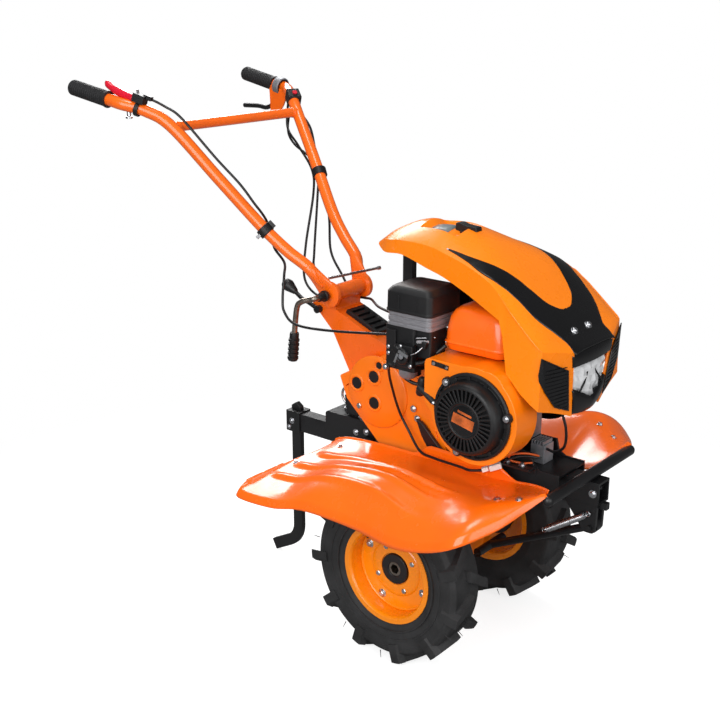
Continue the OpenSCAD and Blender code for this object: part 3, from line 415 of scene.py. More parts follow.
# Where the left tube's straight end begins, and the direction forwards along it
GRIP_START = Vector((-749.2, 276.5, 1171.1))
GRIP_AHEAD = Vector((0.98025, -0.07103, -0.18469))


def other_side(p):
    return Vector((p[0], -p[1], p[2]))


# Hood

# Height of the crest above the engine's base, the corner between side and cheek, and the nose's front edge,
# height and backward rake
CREST = 455
CHEEK_X = 318
CHEEK_HALF = 163
NOSE_X = 344
NOSE_TOP = 742
NOSE_TALL = 142
NOSE_RAKE = 11
# X, half width, and heights above the engine's base of the crest, the crease and the lower edge
HOOD_STATIONS = [
    (-204, 10, CREST - 71, CREST - 73, CREST - 77),
    (-178, 34, CREST - 53, CREST - 62, CREST - 79),
    (-145, 58, CREST - 32, CREST - 52, CREST - 80),
    (-80, 84, CREST - 6, CREST - 42, CREST - 72),
    (-4, 102, CREST + 1, CREST - 40, CREST - 86),
    (50, 114, CREST - 11, CREST - 48, CREST - 96),
    (116, 128, CREST - 33, CREST - 62, CREST - 116),
    (177, 144, CREST - 62, CREST - 82, CREST - 137),
    (213, 153, CREST - 86, CREST - 104, CREST - 150),
    (225, 156, CREST - 97, CREST - 115, CREST - 183),
    (239, 160, CREST - 109, CREST - 127, CREST - 254),
    (275, 163, CREST - 144, CREST - 159, CREST - 288),
    (300, 164, CREST - 168, CREST - 181, CREST - 305),
    (318, 163, CREST - 187, CREST - 195, CREST - 316),
    (344, 84, CREST - 205, CREST - 210, CREST - 344)]
# Behind the side's front edge the shell is one smooth curve; ahead of it the stations are joined by straight
# facets
SMOOTH_STATIONS = 9
FACET_ROWS = 3
HOOD_ROWS = spline(HOOD_STATIONS[:SMOOTH_STATIONS], 8)[:-1]
for behind, ahead in zip(HOOD_STATIONS[SMOOTH_STATIONS - 1:], HOOD_STATIONS[SMOOTH_STATIONS:]):
    for k in range(FACET_ROWS):
        HOOD_ROWS.append(tuple(a + (b - a) * k / FACET_ROWS for a, b in zip(behind, ahead)))
HOOD_ROWS.append(HOOD_STATIONS[-1])


def hood_station(x):
    """Half width, crest, crease, lower edge and crown power at a distance ahead of the axle."""
    for a, b in zip(HOOD_ROWS, HOOD_ROWS[1:]):
        if x <= b[0]:
            break
    t = clamp((x - a[0]) / (b[0] - a[0]))
    w, top, crease, low = (mix(p, q, t) for p, q in zip(a[1:], b[1:]))
    return w, top, crease, low, mix(2.0, 5.0, clamp((x - 100) / 150))


def recess(x, y):
    """Depth of the finger recess behind the latch on the crown."""
    along = smooth((x + 64) / 16) * smooth((44 - x) / 14)
    wide = 50 + (x + 40) * 0.12
    return 15 * along * smooth((wide - abs(y)) / 12)


def tuck(half):
    """How far the crease lies in from the shell's widest line."""
    return min(6, half * 0.2)


def hood_top(x, y):
    """Height of the shell's upper face."""
    w, top, crease, _, power = hood_station(x)
    share = clamp(abs(y) / (w - tuck(w)))
    return ENGINE_Z + mix(top, crease, share ** power) - recess(x, y)


def make_hood():
    """The orange shell with its black inlay, the beads along its creases and the latch on its crown."""
    shell = Shape()
    columns = 28
    side_steps = 6
    grid = []
    for row in HOOD_ROWS:
        x = row[0]
        w, _, crease, low, _ = hood_station(x)
        nose = clamp((x - CHEEK_X) / (NOSE_X - CHEEK_X))
        half = []
        for k in range(side_steps):
            down = 1 - k / side_steps
            half.append((x - NOSE_RAKE * down * nose,
                         -(w - tuck(w) * k / side_steps) * (1 - 0.34 * down * nose),
                         ENGINE_Z + mix(crease, low - 8 * nose, down)))
        for k in range(columns):
            y = -(w - tuck(w)) * math.sin(math.pi / 2 * (1 - k / (columns - 0.5)))
            half.append((x, y, hood_top(x, y)))
        grid.append(half + [(x, 0, hood_top(x, 0))] + [(p[0], -p[1], p[2]) for p in reversed(half)])
    shell.loft(grid, closed=False)
    made = shell.build("hood_shell", HOOD_ABS, "chassis", ["hood"], solid=4, angle=22, bevel=4, rings=3)

    inlay = Shape()
    outer = spline([(44, 97), (103, 111), (150, 126), (190, 129), (231, 122), (254, 118), (272, 114),
                    (290, 104), (307, 90), (323, 79), (343, 80)], 6)
    inner = spline([(44, 95), (122, 97), (174, 88), (218, 73), (255, 53), (271, 31), (277.5, 14), (279, 0),
                    (300, 0), (322, 0), (343, 0)], 6)
    bands = 14
    proud = 1.1
    sheet = []
    for o, i in zip(outer, inner):
        sheet.append([])
        for k in range(bands + 1):
            x, y = mix(o[0], i[0], k / bands), -mix(o[1], max(i[1], 0), k / bands)
            sheet[-1].append((x, y, hood_top(x, y) + proud))
    sheet.append([(347.5, y, z - 2) for _, y, z in sheet[-1]])
    sheet.append([(349, y, z - 6) for _, y, z in sheet[-2]])
    inlay.loft(sheet, closed=False)
    inlay.mirrored()
    inlay.build("hood_inlay", BLACK_ABS, "chassis", solid=1.6, angle=50)

    creases = Shape()
    for s in (-1, 1):
        line = []
        for x in range(206, 317, 5):
            w, _, crease, _, _ = hood_station(x)
            line.append((x, s * (w - tuck(w) + 0.5), ENGINE_Z + crease - 0.4))
        creases.tube(line, [0.5] + [1.7] * (len(line) - 2) + [0.5], 12)
    creases.build("hood_crease_beads", HOOD_ABS, "chassis", angle=60)

    latch = Shape()
    latch.plate([(8, 931), (9, 951), (20, 952), (34, 948), (62, 946), (64, 931), (44, 926), (28, 922)],
                -16, 6)
    latch.block((24, -22, 920), (46, 12, 937))
    latch.build("hood_latch", BLACK_NYLON, "chassis", bevel=2.5)
    insert = Shape()
    insert.loft([[(x, y, hood_top(x, y) + 1.2) for y in (-38, -19, 0, 19, 38)] for x in (-46, -30, -10, 4)],
                closed=False)
    insert.build("recess_insert", GREY_ABS, "chassis", solid=1.5)


def nose_half(z):
    """Half width of the nose between the cheeks at a height."""
    return 84 - 29 * (NOSE_TOP - z) / NOSE_TALL


def lamp_foot(u):
    """Height of the lamp's lower edge, a shallow V."""
    return 631 + 32 * abs(u)


def make_nose():
    """The black face below the hood's front edge: a brow, the lamp and a chin, all curved across."""
    face = Shape()
    steps = [k / 12 - 1 for k in range(25)]

    def row(x, z, bulge=6):
        return [(x - bulge * u * u, nose_half(z) * u, z) for u in steps]

    brow = ((338, 744), (346, 741), (349, 733), (349, 718), (347, 710), (336, 706))
    face.loft([row(x, z) for x, z in brow], closed=False)
    chin = []
    for x, share in ((333, 0), (345, 0.02), (348, 0.12), (348, 0.4), (345, 0.75), (338, 1), (326, 1.02)):
        chin.append([])
        for u in steps:
            z = mix(lamp_foot(u) + 1, 600 + 4 * u * u, share)
            chin[-1].append((x - 9 * u * u, nose_half(z) * u, z))
    face.loft(chin, closed=False)
    face.build("hood_face", BLACK_ABS, "chassis", ["hood_nose"], solid=2.5, angle=50)

    # Metallised facets about 13 mm across, whose pale colour is painted reflection
    lamp = Shape()
    rows = []
    for j in range(6):
        rows.append([])
        for i in range(13):
            u = i / 6 - 1
            z = mix(708, lamp_foot(u) - 1, j / 5)
            x = 345 - 9 * u * u - 3 * abs(j / 2.5 - 1) ** 2 - 4 * ((i + 2 * j) % 3 == 0) + 3 * ((i * j) % 2)
            rows[-1].append((x, (nose_half(z) - 5) * u, z))
    lamp.loft(rows, closed=False)
    lamp.build("lamp_facets", REFLECTOR_PAINTED_REFLECTION, "chassis", ["headlight"], solid=2, angle=8)
    trim = Shape()
    for s in (-1, 1):
        trim.tube([(340, s * 12, 690), (343.5, s * 30, 668), (343, s * 46, 652)], 2.2, 8)
    trim.build("lamp_dividers", BLACK_ABS, "chassis", angle=50)

    screws = Shape()
    for y in (-28, 28):
        screws.lathe([(-1, 9), (1.5, 9), (2.5, 8), (2.5, 6.5), (5.5, 5.5), (7, 3), (7.2, 0.5)], (313, y, 771),
                     (0.63, 0, 0.78), 24)
    screws.build("nose_screws", ZINC, "chassis", angle=50)

    def on_cheek(s, z, lift):
        """A place on the cheek beside the nose; s runs back from its front edge and round the corner."""
        down = (NOSE_TOP - z) / NOSE_TALL
        front = Vector((NOSE_X - NOSE_RAKE * down, -nose_half(z), z))
        corner = Vector((CHEEK_X, -CHEEK_HALF, z))
        length = (corner - front).length
        if s <= length:
            return front.lerp(corner, s / length) + Vector((0.95, -0.31, 0)) * lift
        return corner + Vector((length - s, -lift, 0))

    vents = Shape()
    edge = [(82, 747), (12, 708), (11, 616), (55, 635), (82, 676)]
    middle = (50, 684)
    vents.loft([[on_cheek(mix(middle[0], s, scale), mix(middle[1], z, scale), lift) for s, z in edge]
                for scale, lift in ((1.0, 0.2), (1.0, 2.4), (0.93, 2.8), (0.9, 1.2), (0.02, 1.2))])
    wedge = [(81.5, 747), (81.5, 676), (91, 699), (91, 712)]
    vents.loft([[on_cheek(s, z, lift) for s, z in wedge] for lift in (0.2, 2.4)])
    for k in range(12):
        z = 628 + 8 * k
        right = 14 + 0.2 * k
        left = mix(40, 76, (z - 628) / 40) if z < 668 else 76 - max(0, z - 712) * 1.3
        vents.tube([on_cheek(right, z, 1.6), on_cheek(left, z, 1.6)], 1.1, 6)
    vents.mirrored()
    vents.build("cheek_vents", BLACK_ABS, "chassis", ["hood_vents"], angle=30, bevel=0.5)


make_hood()
make_nose()


# Fenders

# From the rear tip to the front corner: the inner edge's X, its inset and its height above the axle, the
# outer edge's X, its inset and its height, and the rise of the crown between
FENDER_STATIONS = spline([
    (-268, 0, 203, -338, 44, 148, 0),
    (-262, 0, 206, -354, 18, 135, 0),
    (-252, 0, 210, -340, -2, 124, 0),
    (-215, 0, 219, -240, -1, 128, 5),
    (-130, 0, 225, -150, 6, 145, 34),
    (-15, 0, 227, -15, 7, 145, 70),
    (90, 0, 227, 95, 0, 137, 88),
    (175, 0, 229, 185, -4, 157, 96),
    (235, 2, 234, 258, -4, 191, 86),
    (285, 26, 250, 306, 60, 217, 52),
    (325, 50, 262, 334, 122, 244, 20),
    (345, 66, 268, 352, 158, 264, 4),
    (349, 74, 272, 356, 166, 269, 2)], 9)
FENDER_GAP = 92
FENDER_HALF = 342
# Each pressed rib's place across the sheet at the rear, and the X where it starts
FENDER_RIBS = ((0.27, -268), (0.46, -300), (0.65, -322))
RIB_HEIGHT = 6
RIB_REACH = 0.055


def fender_point(row, v, side):
    """A place on a fender's pressed sheet; v runs from the inner edge to the outer."""
    inner_x, inner_in, inner_z, outer_x, outer_in, outer_z, rise = FENDER_STATIONS[row]
    x = mix(inner_x, outer_x, v)
    if side > 0:
        # The left sheet's inner front corner comes further in and down, to the frame
        inner_in = -30 * smooth((inner_x - 225) / 60)
        inner_z = inner_z - 24 * smooth((inner_x - 205) / 80)
        crown = rise * smooth(v / 0.62) * (1 - v ** 5)
    else:
        # The right sheet is flatter, most of all towards its front
        rise *= 0.74 * (1 - 0.5 * smooth((inner_x + 20) / 260))
        crown = rise * smooth(v / 0.72) * (1 - v ** 7)
    ribs = 0
    for middle, start in FENDER_RIBS:
        # The ribs drift outwards on their way forwards and fade out over the wheel
        near = 1 - smooth(abs(v - middle - 0.2 * clamp((x + 260) / 380)) / RIB_REACH)
        ribs += RIB_HEIGHT * near * smooth((x - start) / 40) * smooth((185 - x) / 120)
    bow = mix(1.0, 1.2, clamp((x + 260) / 200))
    z = AXLE_Z + mix(inner_z, outer_z + 10, v ** bow) + crown + ribs
    return Vector((x, mix(FENDER_GAP + inner_in, FENDER_HALF - outer_in, v), z))


def make_fender(side):
    """A pressed sheet with a rolled edge; the inner edge turns up between the wheel and the engine."""
    sheet = Shape()
    columns = [0.9 * k / 60 for k in range(60)] + [0.9 + 0.1 * k / 14 for k in range(15)]
    last = len(FENDER_STATIONS) - 1
    grid = []
    for row in range(last + 1):
        inner = fender_point(row, 0, side)
        lip = 4 + 27 * smooth((inner.x + 40) / 50) * smooth((236 - inner.x) / 60)
        line = [inner + Vector((0, -0.6 * k, lip * k / 4)) for k in range(4, 0, -1)]
        for v in columns:
            p = fender_point(row, v, side)
            edge = min((fender_point(row, 1, side) - p).length, (fender_point(0, v, side) - p).length,
                       (fender_point(last, v, side) - p).length * 1.3)
            drop = 12 * (1 - clamp(edge / 13)) ** 1.6
            if v < 0.05:
                drop = 0
            line.append(p - Vector((0, 0, drop)))
        grid.append([(p.x, side * p.y, p.z) for p in line])
    sheet.loft(grid, closed=False)
    name = "left" if side > 0 else "right"
    made = sheet.build(name + "_fender_sheet", FENDER_ORANGE, "chassis", ["fender_" + name], solid=2.5,
                       angle=60)
    made.modifiers["thickness"].offset = -1 if side < 0 else 1
    fixings = Shape()
    for row, v in ((18, 0.44), (26, 0.12), (75, 0.5), (84, 0.6)):
        p = fender_point(row, v, side)
        fixings.bolt((p.x, side * p.y, p.z), (0, 0.15 * side, 1), 8)
    fixings.build(name + "_fender_bolts", ZINC, "chassis", angle=40)


make_fender(-1)
make_fender(1)


# Wheels

def make_wheel(side):
    """Tyre, rim and hub, with the sidewall's rings, the tread's mould whiskers, the bolts and the valve."""
    name = "left" if side > 0 else "right"
    body = "wheel_" + name
    dress("tyre_" + name, TYRE_RUBBER, 2.2, body=body)
    dress("rim_" + name, RIM_ORANGE, 0.8, body=body)
    dress("hub_" + name, BLACK_ENAMEL, 2, body=body)
    face = side * 196
    outward = (0, side, 0)

    def out(y, r, angle):
        return r * math.cos(angle), face + side * y, AXLE_Z + r * math.sin(angle)

    bead = Shape()
    for r in (131, 150, 172):
        bead.lathe([(-1.2, r - 2.2), (0.6, r - 1.4), (0.6, r + 1.4), (-1.2, r + 2.2), (-1.2, r - 2.2)],
                   (0, face + side * 48.6, AXLE_Z), outward, 64)
    whiskers = 22
    for k in range(whiskers):
        angle = 2 * math.pi * (k + 0.35) / whiskers
        for y, tip in ((47, 211), (-47, 209)):
            if k % 3:
                bead.tube([out(y, 188, angle), out(y + 1, tip - 4 - k % 4, angle + 0.015)], [1.1, 0.5], 6)
    bead.build(name + "_tyre_details", TYRE_RUBBER, body, angle=50)
    fixings = Shape()
    for k in range(4):
        for r, turn in ((53, 0.5), (83, 1.1)):
            fixings.bolt(out(3.2, r, turn + k * math.pi / 2), outward, 10)
    fixings.build(name + "_rim_bolts", ZINC, body, angle=40)
    pressing = Shape()
    for profile in ([(3, 94), (4.5, 95), (5.2, 97), (4.5, 99), (3, 100), (3, 94)],
                    [(3, 66), (5, 64), (6.5, 60), (6.5, 38), (3, 38), (3, 66)]):
        pressing.lathe(profile, (0, face, AXLE_Z), outward, 72)
    pressing.build(name + "_rim_pressing", RIM_ORANGE, body, angle=50)
    valve = Shape()
    valve.lathe([(0, 4.5), (14, 4.5), (15, 3), (24, 3), (25, 2)], out(4, 96, 2.4), (0.37, side * 0.9, 0), 12)
    valve.build(name + "_tyre_valve", CABLE_PVC, body, angle=40)


make_wheel(-1)
make_wheel(1)


# Engine

def make_filter():
    """The air filter's moulded cover over a ribbed band."""
    cover = Shape()

    def ring(z, inset, radius):
        outline = rounded((-56 + inset, -174 + inset), (62 - inset, -60 - inset), radius)
        return [(x, y, z) for x, y in outline]

    cover.loft([ring(781, 0, 13), ring(783, -1.5, 14), ring(786, -1.5, 14), ring(788, 0, 13),
                ring(824, 0.5, 13), ring(833, 7, 14), ring(836, 12, 14)])
    for x in (-20, 26):
        cover.block((x - 1.2, -175, 788), (x + 1.2, -172, 818))
    cover.build("filter_cover_shell", BLACK_NYLON, "chassis", ["filter_cover"], bevel=1.6, angle=28)
    band = Shape()
    grooves = ((751, 0), (757, 0), (758, 1.2), (760, 1.2), (761, 0), (770, 0), (771, 1.2), (773, 1.2),
               (774, 0), (781, 0))
    band.loft([[(x, y, z) for x, y in rounded((-54 + i, -172 + i), (60 - i, -62 - i), 12)]
               for z, i in grooves])
    band.build("filter_ribbed_band", BRIGHT_BAND, "chassis", ["filter_band"], bevel=0.5, angle=30)


def make_carburettor():
    """The carburettor on its box, with its float bowl, levers, return spring and hoses."""
    dress("carburettor_box", BLACK_NYLON, 4)
    body = Shape()
    body.block((-22, -184, 668), (24, -168, 716))
    body.lathe([(0, 18), (10, 18), (12, 15), (12, 9), (8, 8), (8, 0.5)], (2, -183, 694), RIGHT, 28)
    body.lathe([(0, 9), (8, 9), (9, 7)], (-14, -183, 706), RIGHT, 20)
    body.block((-50, -176, 660), (-26, -168, 742))
    body.slab((36, -168, 724), (1, 0, -0.3), UP, (30, 16, 12))
    body.build("carburettor_housing", BLACK_NYLON, "chassis", bevel=2)
    metal = Shape()
    metal.lathe([(0, 21), (16, 20), (22, 15), (24, 5), (27, 5), (28, 0.5)], (-13, -146, 656), (0, 0, -1), 28)
    metal.lathe([(0, 6), (3, 6), (3.5, 0.5)], (2, -191, 694), RIGHT, 16)
    metal.build("float_bowl", DIE_CAST, "chassis", bevel=0.8)
    bright = Shape()
    for x, y, z in ((-44, -176, 690), (-44, -176, 704), (-6, -184, 713), (20, -184, 674)):
        bright.lathe([(0, 4.5), (2, 4.5), (3, 3), (3, 0.5)], (x, y, z), RIGHT, 14)
    bright.slab((10, -196, 702), (1, 0, -0.35), UP, (26, 7, 2))
    bright.slab((-8, -196, 690), (0.4, 0, 1), (1, 0, 0), (22, 5, 2))
    bright.tube(spline([(22, -186, 700), (34, -182, 706), (44, -172, 718), (52, -160, 728)], 5), 1.3, 8)
    bright.tube([(30, -178, 736), (58, -150, 736)], 1.3, 8)
    for k in range(7):
        bright.lathe([(0, 3.4), (1.4, 3.4)], (34 + 3 * k, -178 + 2.6 * k, 729), (1, -0.85, 0), 12)
    bright.lathe([(0, 7), (6, 7), (8, 5), (8, 0.5)], (-48, -176, 658), (-0.3, -1, 0), 18)
    bright.build("carburettor_fittings", ZINC, "chassis", angle=40)
    hose = Shape()
    hose.tube(spline([(70, -128, 716), (54, -140, 698), (40, -160, 682), (26, -174, 678)], 6), 5, 12)
    hose.tube(spline([(-40, -130, 655), (-34, -136, 630), (-6, -130, 616), (20, -120, 622)], 6), 4, 12)
    hose.build("fuel_hoses", CABLE_PVC, "chassis", angle=60)


def make_tank():
    """The pressed tank with the seam of its two halves, and its ribbed cap."""
    tank = Shape()

    def ring(z, inset, radius=24):
        outline = rounded((66 + inset, -142 + inset), (222 - inset, 50 - inset), radius, 7)
        return [(x, y, z) for x, y in outline]

    tank.loft([ring(711, 12, 18), ring(713, 7, 20), ring(719, 4, 22), ring(727, 2), ring(728, 0),
               ring(731, 0), ring(732, 2), ring(760, 4), ring(782, 8), ring(795, 15), ring(802, 24, 22),
               ring(805, 38, 18)])
    tank.build("pressed_fuel_tank", TANK_ORANGE, "chassis", ["fuel_tank"], bevel=1.2, angle=32)
    dress("fuel_cap", BLACK_NYLON, 3)
    ribs = Shape()
    for k in range(18):
        a = 2 * math.pi * k / 18
        out = Vector((math.cos(a), math.sin(a), 0))
        ribs.slab((92 + 29 * math.cos(a), -30 + 29 * math.sin(a), 822), UP, out, (14, 2.4, 4))
    ribs.build("fuel_cap_ribs", BLACK_NYLON, "chassis", bevel=0.6)


RECOIL_Y = -190.3
# Where the starter's fixing ears stand round its rim
RECOIL_EARS = (2.35, 0.2, 4.35)


def make_recoil():
    """The slotted recoil starter with its badge, its pull handle and the stop switch on the shroud."""
    centre = (CRANK_X, RECOIL_Y, CRANK_Z)
    out = RIGHT

    def on_face(r, angle, y):
        return CRANK_X + r * math.cos(angle), y, CRANK_Z + r * math.sin(angle)

    cover = Shape()
    cover.lathe([(0, 92), (5, 92), (7.5, 89.5), (7.5, 86), (3, 85), (3, 79), (8, 78), (20, 76), (29, 73.5),
                 (32, 70), (33, 66), (33, 64.5), (24, 63), (24, 40), (33, 39), (34, 36), (33, 34.5),
                 (31.5, 34), (31.5, 0.5)], centre, out, 96)
    for k in range(36):
        a = 2 * math.pi * (k + 0.5) / 36
        cover.slab(on_face(52, a, RECOIL_Y - 28.6), (math.cos(a), 0, math.sin(a)), out, (29, 9, 4.2))
    for k in range(12):
        a = 2 * math.pi * k / 12 + 0.1
        cover.slab(on_face(82, a, -194.5), (math.cos(a), 0, math.sin(a)), out, (9, 5, 8 if k % 4 else 26))
    for a in RECOIL_EARS:
        cover.lathe([(0, 11), (9, 10), (10, 8)], on_face(87, a, RECOIL_Y), out, 20)
    cover.build("recoil_cover", BLACK_NYLON, "chassis", ["recoil_starter"], bevel=0.7, angle=35)
    badge = Shape()
    badge.lathe([(0, 31), (0.8, 31), (1.1, 30)], (CRANK_X, -221.6, CRANK_Z), out, 48)
    tilt = Vector((math.cos(0.22), 0, -math.sin(0.22)))
    badge.slab((CRANK_X - 1, -222.7, CRANK_Z - 2), tilt, out, (52, 0.8, 22), 1)
    badge.slab((CRANK_X + 3, -222.7, CRANK_Z + 15), tilt, out, (34, 0.8, 5), 1)
    badge.build("recoil_badge", [BLACK_ABS, BADGE_COPPER], "chassis", angle=40)
    bright = Shape()
    for a in RECOIL_EARS:
        bright.bolt(on_face(87, a, -200.3), out, 7)
    bright.build("recoil_bolts", ZINC, "chassis", angle=40)

    handle = Shape()
    handle.lathe([(-22, 4), (-21, 7), (-15, 9.5), (0, 8.5), (15, 9.5), (21, 7), (22, 4)], (45, -178, 634),
                 (0.25, -0.1, 1), 20)
    along_rope = (0.86, -0.22, -0.4)
    handle.lathe([(-6, 9), (8, 8), (14, 6.5), (44, 6.5), (48, 5)], (48, -182, 631), along_rope, 18)
    handle.build("starter_grip", BLACK_NYLON, "chassis", ["starter_handle"], bevel=0.8)
    tip = Shape()
    tip.lathe([(0, 5.6), (5, 5.6), (7, 4)], (86, -192, 613), along_rope, 18)
    tip.build("starter_rope_ferrule", ZINC, "chassis", angle=40)

    switch = Shape()
    switch.slab((101, -191, 695), (1, 0, -0.1), UP, (42, 10, 3))
    switch.slab((104, -193, 695), (1, 0, -0.1), UP, (14, 6, 4))
    switch.build("stop_switch", BLACK_NYLON, "chassis", bevel=0.8)
    marks = Shape()
    marks.lathe([(0, 4), (1.5, 3.6), (2, 0.5)], (86, -192.4, 696.5), out, 14)
    marks.lathe([(0, 3.4), (1.5, 3), (2, 0.5)], (118, -192.4, 693.5), out, 14)
    marks.build("stop_switch_screws", ZINC, "chassis", angle=40)


def make_engine():
    """The engine's castings and sheet parts, with what is fixed to them."""
    dress("engine_block", DIE_CAST, 1.5, front=200)
    dress("fan_shroud", SHROUD_ORANGE, 6)
    dress("muffler", BLACK_ENAMEL, 4)
    dress("belt_guard", BLACK_ENAMEL, 5)
    make_filter()
    make_carburettor()
    make_tank()
    make_recoil()
    plug = Shape()
    plug.lathe([(0, 8), (10, 8), (12, 12), (30, 11), (36, 8)], (18, -30, 700), (-0.9, 0, 0.42), 16)
    plug.tube(spline([(-20, -30, 718), (-40, -40, 730), (-20, -70, 712), (10, -100, 690)], 6), 4, 10)
    plug.build("spark_plug_lead", CABLE_PVC, "chassis", angle=50)
    side = Shape()
    for x, z in ((120, 540), (236, 560), (120, 665), (206, 668)):
        side.bolt((x, 56, z), LEFT, 8)
    side.build("crankcase_bolts", ZINC, "chassis", angle=40)


make_engine()


# Gearbox and handle column

CASE_FACE = -70
# X, Z and radius of the bearing plugs in the case's right face
CASE_PLUGS = ((-215, 558, 14), (-165, 583, 14), (-150, 613, 8), (-164, 520, 14))


def make_gearbox():
    """The case with its cast relief and bolts, the engine's strap and the handle column."""
    dress("gearbox", CAST_ORANGE, 4)
    dress("gearbox_plugs", BLACK_NYLON, 1)
    dress("axle", OILED_STEEL, 1)
    relief = Shape()
    relief.lathe([(-1, 86), (2, 85), (4.2, 82), (4.2, 40)], (-157, CASE_FACE, 547), RIGHT, 80)
    relief.plate([(-60, 600), (-44, 606), (6, 520), (20, 440), (4, 440), (-8, 512)], -73.5, -69)
    relief.plate([(-252, 540), (-246, 545), (-120, 640), (-126, 645)], -72.5, -69)
    for x, z, r in CASE_PLUGS:
        boss = [(1, r), (1, r + 8), (5, r + 7.4), (6.6, r + 5.6), (6.6, r + 1), (1, r)]
        relief.lathe(boss, (x, CASE_FACE, z), RIGHT, 40)
    relief.build("gearbox_relief", CAST_ORANGE, "chassis", bevel=1.6, angle=40)
    fixings = Shape()
    for x, z in ((-52, 532), (-41, 511)):
        fixings.bolt((x, -74, z), RIGHT, 8)
    fixings.bolt((-207, -72, 504), RIGHT, 11)
    fixings.bolt((-246, -40.5, 418), RIGHT, 8)
    fixings.bolt((-215, -40.5, 426), RIGHT, 8)
    for x, z in ((-230, 590), (-60, 640), (20, 500), (-120, 445)):
        fixings.bolt((x, -CASE_FACE, z), LEFT, 8)
    fixings.build("gearbox_bolts", ZINC, "chassis", angle=40)
    strap = Shape()
    strap.plate([(-38, 514), (-22, 508), (44, 446), (4, 440), (-22, 478)], -84, -74.5)
    strap.plate([(-290, 500), (-262, 506), (-244, 470), (-250, 452), (-284, 452)], -30, -24)
    strap.build("engine_strap", BLACK_ENAMEL, "chassis", bevel=1.5)
    dress("handle_column", TUBE_ORANGE, 2.5)
    dress("shift_gate", BLACK_NYLON, 1)
    dress("gear_lever", BLACK_NYLON, 0)
    dress("hood_post", BLACK_ENAMEL, 2)


def make_clamp_lever():
    """The bent rod through the handlebar's pivot, with its ribbed handle."""
    near = -114
    rod = Shape()
    bends = [(PIVOT_X, -74, PIVOT_Z), (PIVOT_X, near + 7, PIVOT_Z), (PIVOT_X - 12, near + 1, PIVOT_Z - 3),
             (PIVOT_X - 34, near - 5, PIVOT_Z - 11), (PIVOT_X - 46, near - 8, PIVOT_Z - 28),
             (PIVOT_X - 53, near - 10, PIVOT_Z - 92)]
    rod.tube(spline(bends, 6), 6.6, 16)
    rod.lathe([(0, 8), (143, 8), (144, 6.5)], (PIVOT_X, -60, PIVOT_Z), LEFT, 20)
    rod.build("clamp_rod", OILED_STEEL, "chassis", ["clamp_lever"], angle=50)
    sleeve = Shape()
    sleeve.lathe([(0, 12), (2, 13), (8, 13), (9, 10.5), (26, 9.5), (28, 8)], (PIVOT_X, -72.6, PIVOT_Z),
                 RIGHT, 20)
    foot = Vector((PIVOT_X - 60, near - 10, PIVOT_Z - 156))
    along = Vector((math.sin(math.radians(6)), 0, math.cos(math.radians(6))))
    rings = [(0, 9), (1, 11)]
    for k in range(5):
        rings += [(4 + 11 * k, 11), (5 + 11 * k, 13), (10 + 11 * k, 13), (11 + 11 * k, 11)]
    sleeve.lathe(rings + [(66, 11), (70, 10), (70.5, 7)], foot, along, 24)
    sleeve.build("clamp_handle", BLACK_NYLON, "chassis", angle=35)


make_gearbox()
make_clamp_lever()


# Frame, hitch and stand

def make_frame():
    """The engine frame, the hitch and the stake, with the bolts, the regulator and the wiring."""
    rails = Shape()
    wall = [(30, 425), (312, 425), (312, 463), (266, 463), (250, 472), (243, ENGINE_Z), (30, ENGINE_Z)]
    for y in (-55, 50):
        rails.plate(wall, y, y + 5)
    rails.block((30, -51, 455), (312, 51, 460))
    rails.build("frame_rails", BLACK_ENAMEL, "chassis", ["front_frame"], bevel=1.2)
    for name, bevel in (("front_tube", 1.5), ("fender_bar", 0), ("fender_stay", 1),
                        ("rear_hitch", 3), ("drawbar", 2), ("depth_stake", 1.6)):
        dress(name, BLACK_ENAMEL, bevel)
    dress("hitch_pin", ZINC, 0.8)
    dress("stand", BLACK_ENAMEL, 1.5, body="stand")
    fixings = Shape()
    fixings.bolt((375, -23.5, 429.7), RIGHT, 9)
    fixings.bolt((375, 23.5, 429.7), LEFT, 9)
    fixings.bolt((-470, -21.5, 388), RIGHT, 8)
    fixings.bolt((-480, -21.5, 370), RIGHT, 6)
    for x in (196, 232):
        fixings.bolt((x, -70, 471.5), (0, -0.2, 1), 8)
    fixings.build("frame_bolts", ZINC, "chassis", angle=40)
    bracket = Shape()
    bracket.block((168, -86, 466), (258, -54, 471))
    bracket.block((168, -58, 452), (258, -54.5, 468))
    bracket.build("loom_bracket", BLACK_ENAMEL, "chassis", bevel=1.2)
    box = Shape()
    box.block((218, -16, 460), (252, 22, 502))
    for k in range(5):
        box.block((219 + 6.6 * k, -16, 502), (222.4 + 6.6 * k, 22, 510))
    box.build("charge_regulator", DIE_CAST, "chassis", bevel=1)
    wires = Shape()
    wires.tube(spline([(-64, -150, 650), (-78, -126, 610), (-80, -92, 530), (-54, -88, 484), (-14, -100, 450),
                       (25, -107, 446), (101, -111, 446), (130, -113, 446), (158, -108, 452)], 8), 3, 10)
    wires.tube(spline([(318, -70, 612), (326, -62, 572), (312, -40, 524), (276, -16, 496), (250, -6, 494)],
                      8), 3, 10)
    wires.tube(spline([(262, -44, 486), (238, -66, 492), (214, -80, 486), (196, -86, 474)], 8), 2.4, 10)
    wires.build("engine_wires", CABLE_PVC, "chassis", angle=60)
    warm = Shape()
    warm.tube(spline([(256, -44, 490), (240, -70, 500), (212, -84, 494), (206, -76, 478), (228, -66, 474),
                      (250, -60, 478)], 8), 2.2, 10)
    warm.build("charge_wire", ORANGE_PVC, "chassis", angle=60)
    plug = Shape()
    along_loom = (-0.8, -0.5, -0.35)
    plug.slab((182, -96, 463), along_loom, UP, (26, 12, 14))
    plug.slab((164, -107, 456), along_loom, UP, (14, 9, 11))
    plug.build("loom_connector", WHITE_NYLON, "chassis", bevel=1.2)


